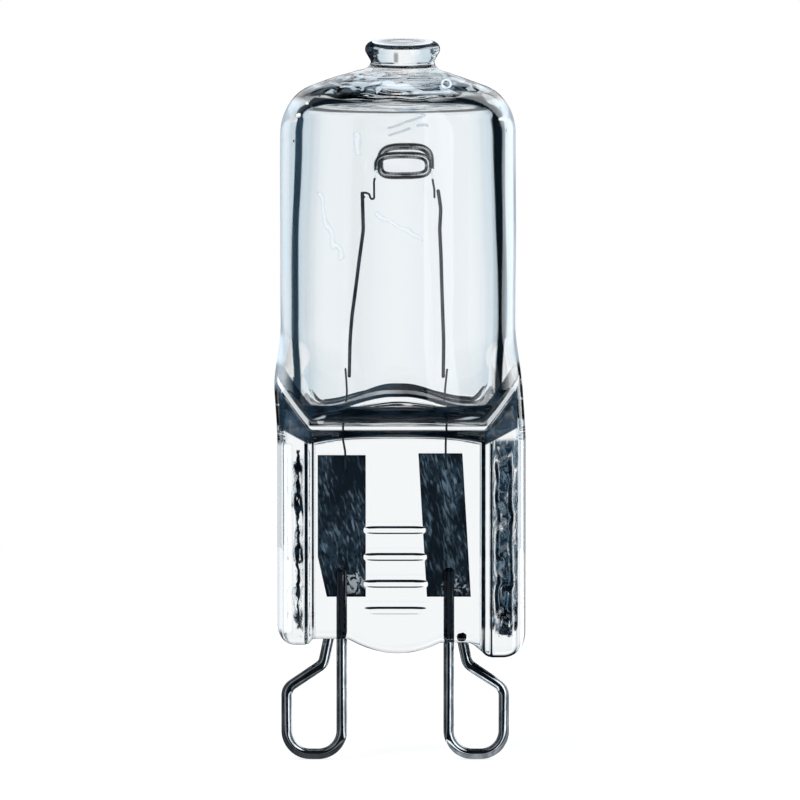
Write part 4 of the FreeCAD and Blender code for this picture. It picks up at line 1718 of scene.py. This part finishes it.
@dataclass
class Filament:
    """A fine coil of wire, bent into a turn and a half and hung between two straight tails."""

    middle_x: float = 0.5
    middle_y: float = 0.2
    middle_z: float = 33.08
    half_width: float = 1.38
    front_height: float = 0.6
    back_height: float = 0.93
    squareness: float = 0.62
    depth: float = 0.9
    drift: float = 0.22
    start_angle: float = 190.0
    end_angle: float = -370.0
    coil_diameter: float = 0.42
    wire: float = 0.06
    turns: float = 146.0
    steps: int = 13
    tail_wire: float = 0.12
    tail_bend: float = 0.12
    hook: Sequence[Place] = (
        (-1.32, 30.95),
        (-1.46, 31.42),
        (-1.7, 31.5),
        (-1.9, 31.42),
        (-1.88, 31.24),
        (-1.68, 31.26),
    )
    right_end: Sequence[Place] = ((2.16, 31.73), (2.16, 31.23))

    def coil_path(self, shaper: Shaper, share: Value) -> Value:
        """The coil's middle line, finely cut: flat squarish loops that run from front to back.

        Args:
            shaper: the tree with the coil's sizes.
            share: how far along the line a point lies, from 0 to 1.

        Returns:
            The line.
        """
        tree, size = shaper.tree, shaper.size
        line = tree.value("GeometryNodeCurvePrimitiveLine", None, {"End": (0.0, 0.0, MM)})
        rough = tree.resampled(line, "Count", 240)
        angle = share * size("sweep") + size("start")
        cosine = angle.math("COSINE")
        sine = angle.math("SINE")
        grown = share.rise(0.45, 0.75)
        tall = size("front_height") * (1.0 - grown) + size("back_height") * grown
        flat_x = cosine.math("SIGN") * abs(cosine) ** size("squareness")
        flat_z = sine.math("SIGN") * abs(sine) ** size("squareness")
        drift = (share - 0.5) * size("drift")
        x = size("half_width") * flat_x + drift + self.middle_x * MM
        y = (share - 0.5) * size("depth") + self.middle_y * MM
        z = tall * flat_z + drift + self.middle_z * MM
        path = tree.moved(rough, Position=tree.vector(x, y, z))
        return tree.resampled(path, "Count", int(self.turns * self.steps))

    def coil_tree(self, material: bpy.types.Material) -> Shaper:
        """The tree that winds the coil.

        Args:
            material: the coil's finish.

        Returns:
            The tree, with the coil's sizes as named inputs.
        """
        shaper = Shaper(
            "fine_coil",
            turns=self.turns,
            coil_radius=(self.coil_diameter - self.wire) / 2.0 * MM,
            wire_radius=self.wire / 2.0 * MM,
            half_width=self.half_width * MM,
            front_height=self.front_height * MM,
            back_height=self.back_height * MM,
            squareness=self.squareness,
            depth=self.depth * MM,
            drift=self.drift * MM,
            start=math.radians(self.start_angle),
            sweep=math.radians(self.end_angle - self.start_angle),
        )
        tree, size = shaper.tree, shaper.size
        share = tree.value("GeometryNodeSplineParameter", None, None, "Factor")
        path = self.coil_path(shaper, share)
        tangent = tree.value("GeometryNodeInputTangent")
        level = tree.vectors("CROSS_PRODUCT", {0: tangent, 1: (0.0, 1.0, 0.0)})
        level = tree.vectors("NORMALIZE", {0: level})
        across = tree.vectors("CROSS_PRODUCT", {0: tangent, 1: level})
        wind = share * size("turns") * (2.0 * math.pi)
        rim = wind.math("COSINE")
        settings = {"data_type": "FLOAT", "domain": "POINT"}
        inputs = {"Geometry": path, "Name": "rim", "Value": abs(rim)}
        marked = tree.value("GeometryNodeStoreNamedAttribute", settings, inputs)
        shifts = [
            tree.vectors("SCALE", {0: side, "Scale": part * size("coil_radius")})
            for side, part in ((level, rim), (across, wind.math("SINE")))
        ]
        wound = tree.moved(marked, Offset=tree.vectors("ADD", dict(enumerate(shifts))))
        shaper.close(tree.tube(wound, 6, size("wire_radius")), material)
        return shaper

    def end_point(self, share: float) -> Vector:
        """The middle of the coil at one of its ends."""
        angle = math.radians(self.start_angle + (self.end_angle - self.start_angle) * share)
        drift = self.drift * (share - 0.5)
        tall = self.back_height if share > 0.5 else self.front_height
        squared = [
            math.copysign(abs(part) ** self.squareness, part)
            for part in (math.cos(angle), math.sin(angle))
        ]
        return Vector(
            (
                self.middle_x + self.half_width * squared[0] + drift,
                self.middle_y + self.depth * (share - 0.5),
                self.middle_z + tall * squared[1] + drift,
            )
        )

    def tails(self) -> list[list[Vector]]:
        """The routes of the two tails, down to the support wires."""
        up = Vector((0.0, 0.0, self.coil_diameter / 2.0))
        start = self.end_point(0.0)
        end = self.end_point(1.0)
        hang = start.x - self.coil_diameter / 2.0
        left = [(hang, 32.1), (hang, 31.2), *self.hook]
        right = [(end.x + self.tail_wire, 32.1), *self.right_end]
        routes = []
        for first, places in ((start, left), (end, right)):
            points = [first + up] + [Vector((x, self.middle_y, z)) for x, z in places]
            routes.append(rounded_route(points, [self.tail_bend] * len(points), 6))
        return routes

    def build(self, wiring: Wiring, finish: FilamentFinish) -> bpy.types.Object:
        """Makes the coil and its tails as one piece.

        Args:
            wiring: gives the tree that draws a wire.
            finish: the filament's finish.

        Returns:
            The finished piece.
        """
        material = finish.material()
        piece = new_piece("coiled_filament")
        self.coil_tree(material).bake(piece)
        shaper = wiring.wire_tree("tail_wire", material, self.tail_wire)
        form = bmesh.new()
        form.from_mesh(piece.data)
        for i, route in enumerate(self.tails()):
            tail = wiring.draw(f"tail_{i}", route, shaper)
            form.from_mesh(tail.data)
            bpy.data.objects.remove(tail)
        form.to_mesh(piece.data)
        form.free()
        return piece


# The studio


@dataclass
class Studio:
    """Floor, sky, lamps and camera."""

    target: tuple[float, float, float] = (0.26, 0.0, 19.98)
    width_seen: float = 44.32
    distance: float = 500.0
    elevation: float = 3.5
    floor_radius: float = 150.0
    card_radius: float = 45.0
    card_edge: float = 12.0
    sensor: float = 36.0
    white: Colour = (1.0, 1.0, 1.0)
    soft_light: Colour = (0.66, 0.77, 0.83)
    slate: Colour = (0.05, 0.10, 0.16)
    black: Colour = (0.006, 0.014, 0.025)
    slate_roof: Colour = (0.015, 0.03, 0.05)
    paper: Colour = (0.72, 0.72, 0.72)
    strip_light: Colour = (2.2, 2.3, 2.35)
    dark_room: Colour = (0.012, 0.016, 0.02)
    daylight: Colour = (0.85, 0.87, 0.9)
    ground: Colour = (0.3, 0.3, 0.3)
    ground_glow: Colour = (0.4, 0.4, 0.4)

    def camera(self) -> None:
        """A long lens in front of the lamp, a little above its middle."""
        data = bpy.data.cameras.new("camera")
        data.sensor_width = self.sensor
        data.lens = self.sensor * self.distance / self.width_seen
        data.clip_start = 0.01
        data.clip_end = 10.0
        camera = new_object("camera", data)
        tilt = math.radians(self.elevation)
        back = Vector((0.0, -math.cos(tilt), math.sin(tilt)))
        camera.location = (Vector(self.target) + back * self.distance) * MM
        self.aim(camera, -back)
        bpy.context.scene.camera = camera

    def aim(self, thing: bpy.types.Object, direction: Vector) -> None:
        """Turns a camera or a lamp to look along a direction."""
        thing.rotation_mode = "QUATERNION"
        thing.rotation_quaternion = direction.to_track_quat("-Z", "Y")

    def lamps(self) -> None:
        """Two large soft lamps in front."""
        for name, place, size, power in (
            ("key_lamp", (-0.35, -0.45, 0.5), 0.4, 3.0),
            ("fill_lamp", (0.5, -0.3, 0.35), 0.5, 1.5),
        ):
            data = bpy.data.lights.new(name, "AREA")
            data.shape = "DISK"
            data.size = size
            data.energy = power
            lamp = new_object(name, data)
            lamp.location = place
            self.aim(lamp, Vector((0.0, 0.0, 0.02)) - Vector(place))
            lamp.visible_glossy = False
            lamp.visible_transmission = False

    def strips(self, x: Value, y: Value) -> Value:
        """How bright the tall light strips are in a level direction, most of them on the right."""
        turn = abs(x).math("ARCTAN2", abs(y)) * DEGREES
        strip = turn.band(27.0, 54.0, 3.0) + turn.band(74.0, 88.0, 3.0) * 0.25
        return strip * (0.15 + 0.85 * x.rise(0.0, 0.001))

    def sky(self) -> None:
        """White where it is seen, with dark upright panels that only glass and metal show."""
        world = bpy.data.worlds.new("studio")
        world.use_nodes = True
        bpy.context.scene.world = world
        world.node_tree.nodes.clear()
        tree = Tree(world.node_tree)
        way = tree.value("ShaderNodeTexCoord", None, None, "Generated")
        x, y, z = tree.parts(way)
        turn = abs(x).math("ARCTAN2", abs(y)) * DEGREES
        high = z.math("ARCSINE") * DEGREES
        aside = 45.0 - abs(turn - 45.0)
        level = high.band(-25.0, 24.0, 3.0)
        on_right = x.rise(-0.05, 0.05)
        panel = aside.rise(28.0, 32.0) * on_right + aside.rise(37.0, 40.0) * (1.0 - on_right)
        panel = panel * level
        colour = tree.mix(aside.rise(3.0, 28.0), self.white, self.soft_light)
        colour = tree.mix(panel, colour, tree.mix(on_right, self.slate, self.black))
        panes = tree.noise(way, 3.2, 1.0, 0.6).rise(0.50, 0.54)
        roof = high.rise(24.0, 30.0) * (1.0 - panes * high.rise(88.0, 70.0))
        colour = tree.mix(roof, colour, self.slate_roof)
        seen, through, glossy = tree.rays()
        strip = self.strips(x, y) * high.band(-35.0, 50.0, 8.0)
        behind = y.rise(0.8, 0.9) * high.band(9.0, 26.0, 4.0)
        mirrored = tree.mix(strip, self.dark_room, self.strip_light)
        mirrored = tree.mix(behind, mirrored, self.white)
        shown = tree.mix(glossy, self.daylight, mirrored)
        shown = tree.mix(through, shown, colour)
        shown = tree.mix(seen, shown, self.white)
        background = tree.value("ShaderNodeBackground", None, {"Color": shown, "Strength": 1.0})
        tree.node("ShaderNodeOutputWorld", None, {0: background})

    def floor(self) -> None:
        """A plain pale disc that shows white and keeps a soft shadow."""
        form = bmesh.new()
        bmesh.ops.create_circle(form, cap_ends=True, radius=self.floor_radius * MM, segments=128)
        floor = new_piece("floor")
        form.to_mesh(floor.data)
        form.free()
        material, tree, shader = new_material("floor_white")
        shader.inputs["Base Color"].default_value = with_alpha(self.ground)
        shader.inputs["Roughness"].default_value = 1.0
        shader.inputs["Specular IOR Level"].default_value = 0.0
        seen, through, glossy = tree.rays()
        x, y, _ = tree.parts(tree.place())
        near = x.hypot(y).rise(self.card_radius + self.card_edge, self.card_radius)
        shader.inputs["Emission Strength"].default_value = 1.0
        mirrored = tree.mix(self.strips(x, y), self.dark_room, self.strip_light)
        glow = tree.mix(glossy, self.ground_glow, mirrored)
        glow = tree.mix(seen, glow, self.paper)
        glow = tree.mix(through, glow, tree.mix(near, self.white, self.black))
        bent = glossy.math("MAXIMUM", through)
        ground = tree.mix(bent, self.ground, (0.0, 0.0, 0.0))
        connect(tree, shader, Base_Color=ground, Emission_Color=glow)
        floor.data.materials.append(material)
        floor.location.z = -0.00002


def stand_in(piece: bpy.types.Object, node: str) -> None:
    """Puts a piece in the place of a node of the frame."""
    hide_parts(node)
    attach(piece, "root")
    log.info("%s stands for %s with %d faces", piece.name, node, len(piece.data.polygons))


def main() -> None:
    """Builds the studio, the glass and the metal in order."""
    logging.basicConfig(level=logging.INFO, format="%(message)s")
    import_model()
    bpy.context.scene.view_settings.view_transform = "Standard"
    studio = Studio()
    studio.camera()
    studio.lamps()
    studio.sky()
    studio.floor()

    envelope = Envelope().build(QuartzFinish())
    stand_in(envelope, "envelope")

    wiring = Wiring()
    contact = WireFinish(
        "contact_wire", (0.28, 0.31, 0.34), (0.52, 0.55, 0.58), 0.03, sealed_above=6.8
    )
    inner = WireFinish("inner_wire", (0.015, 0.02, 0.028), (0.05, 0.065, 0.08), 0.34)
    for node, piece in wiring.build(contact, inner).items():
        stand_in(piece, node)

    finish = FoilFinish()
    left = Foil(-2.97, 2.66, 9.07, 16.94, 0.0, (0.5, 2.25))
    right = Foil(2.97, 2.44, 9.07, 17.04, -3.4)
    for node, foil, welds in (
        ("foil_left", left, [(-2.3, 9.9)]),
        ("foil_right", right, [(3.3, 9.6)]),
    ):
        piece = foil.build(node + "_sheet", finish.material(node + "_metal", welds))
        stand_in(piece, node)

    filament = Filament().build(wiring, FilamentFinish())
    stand_in(filament, "filament")

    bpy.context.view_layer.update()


if __name__ == "__main__":
    main()
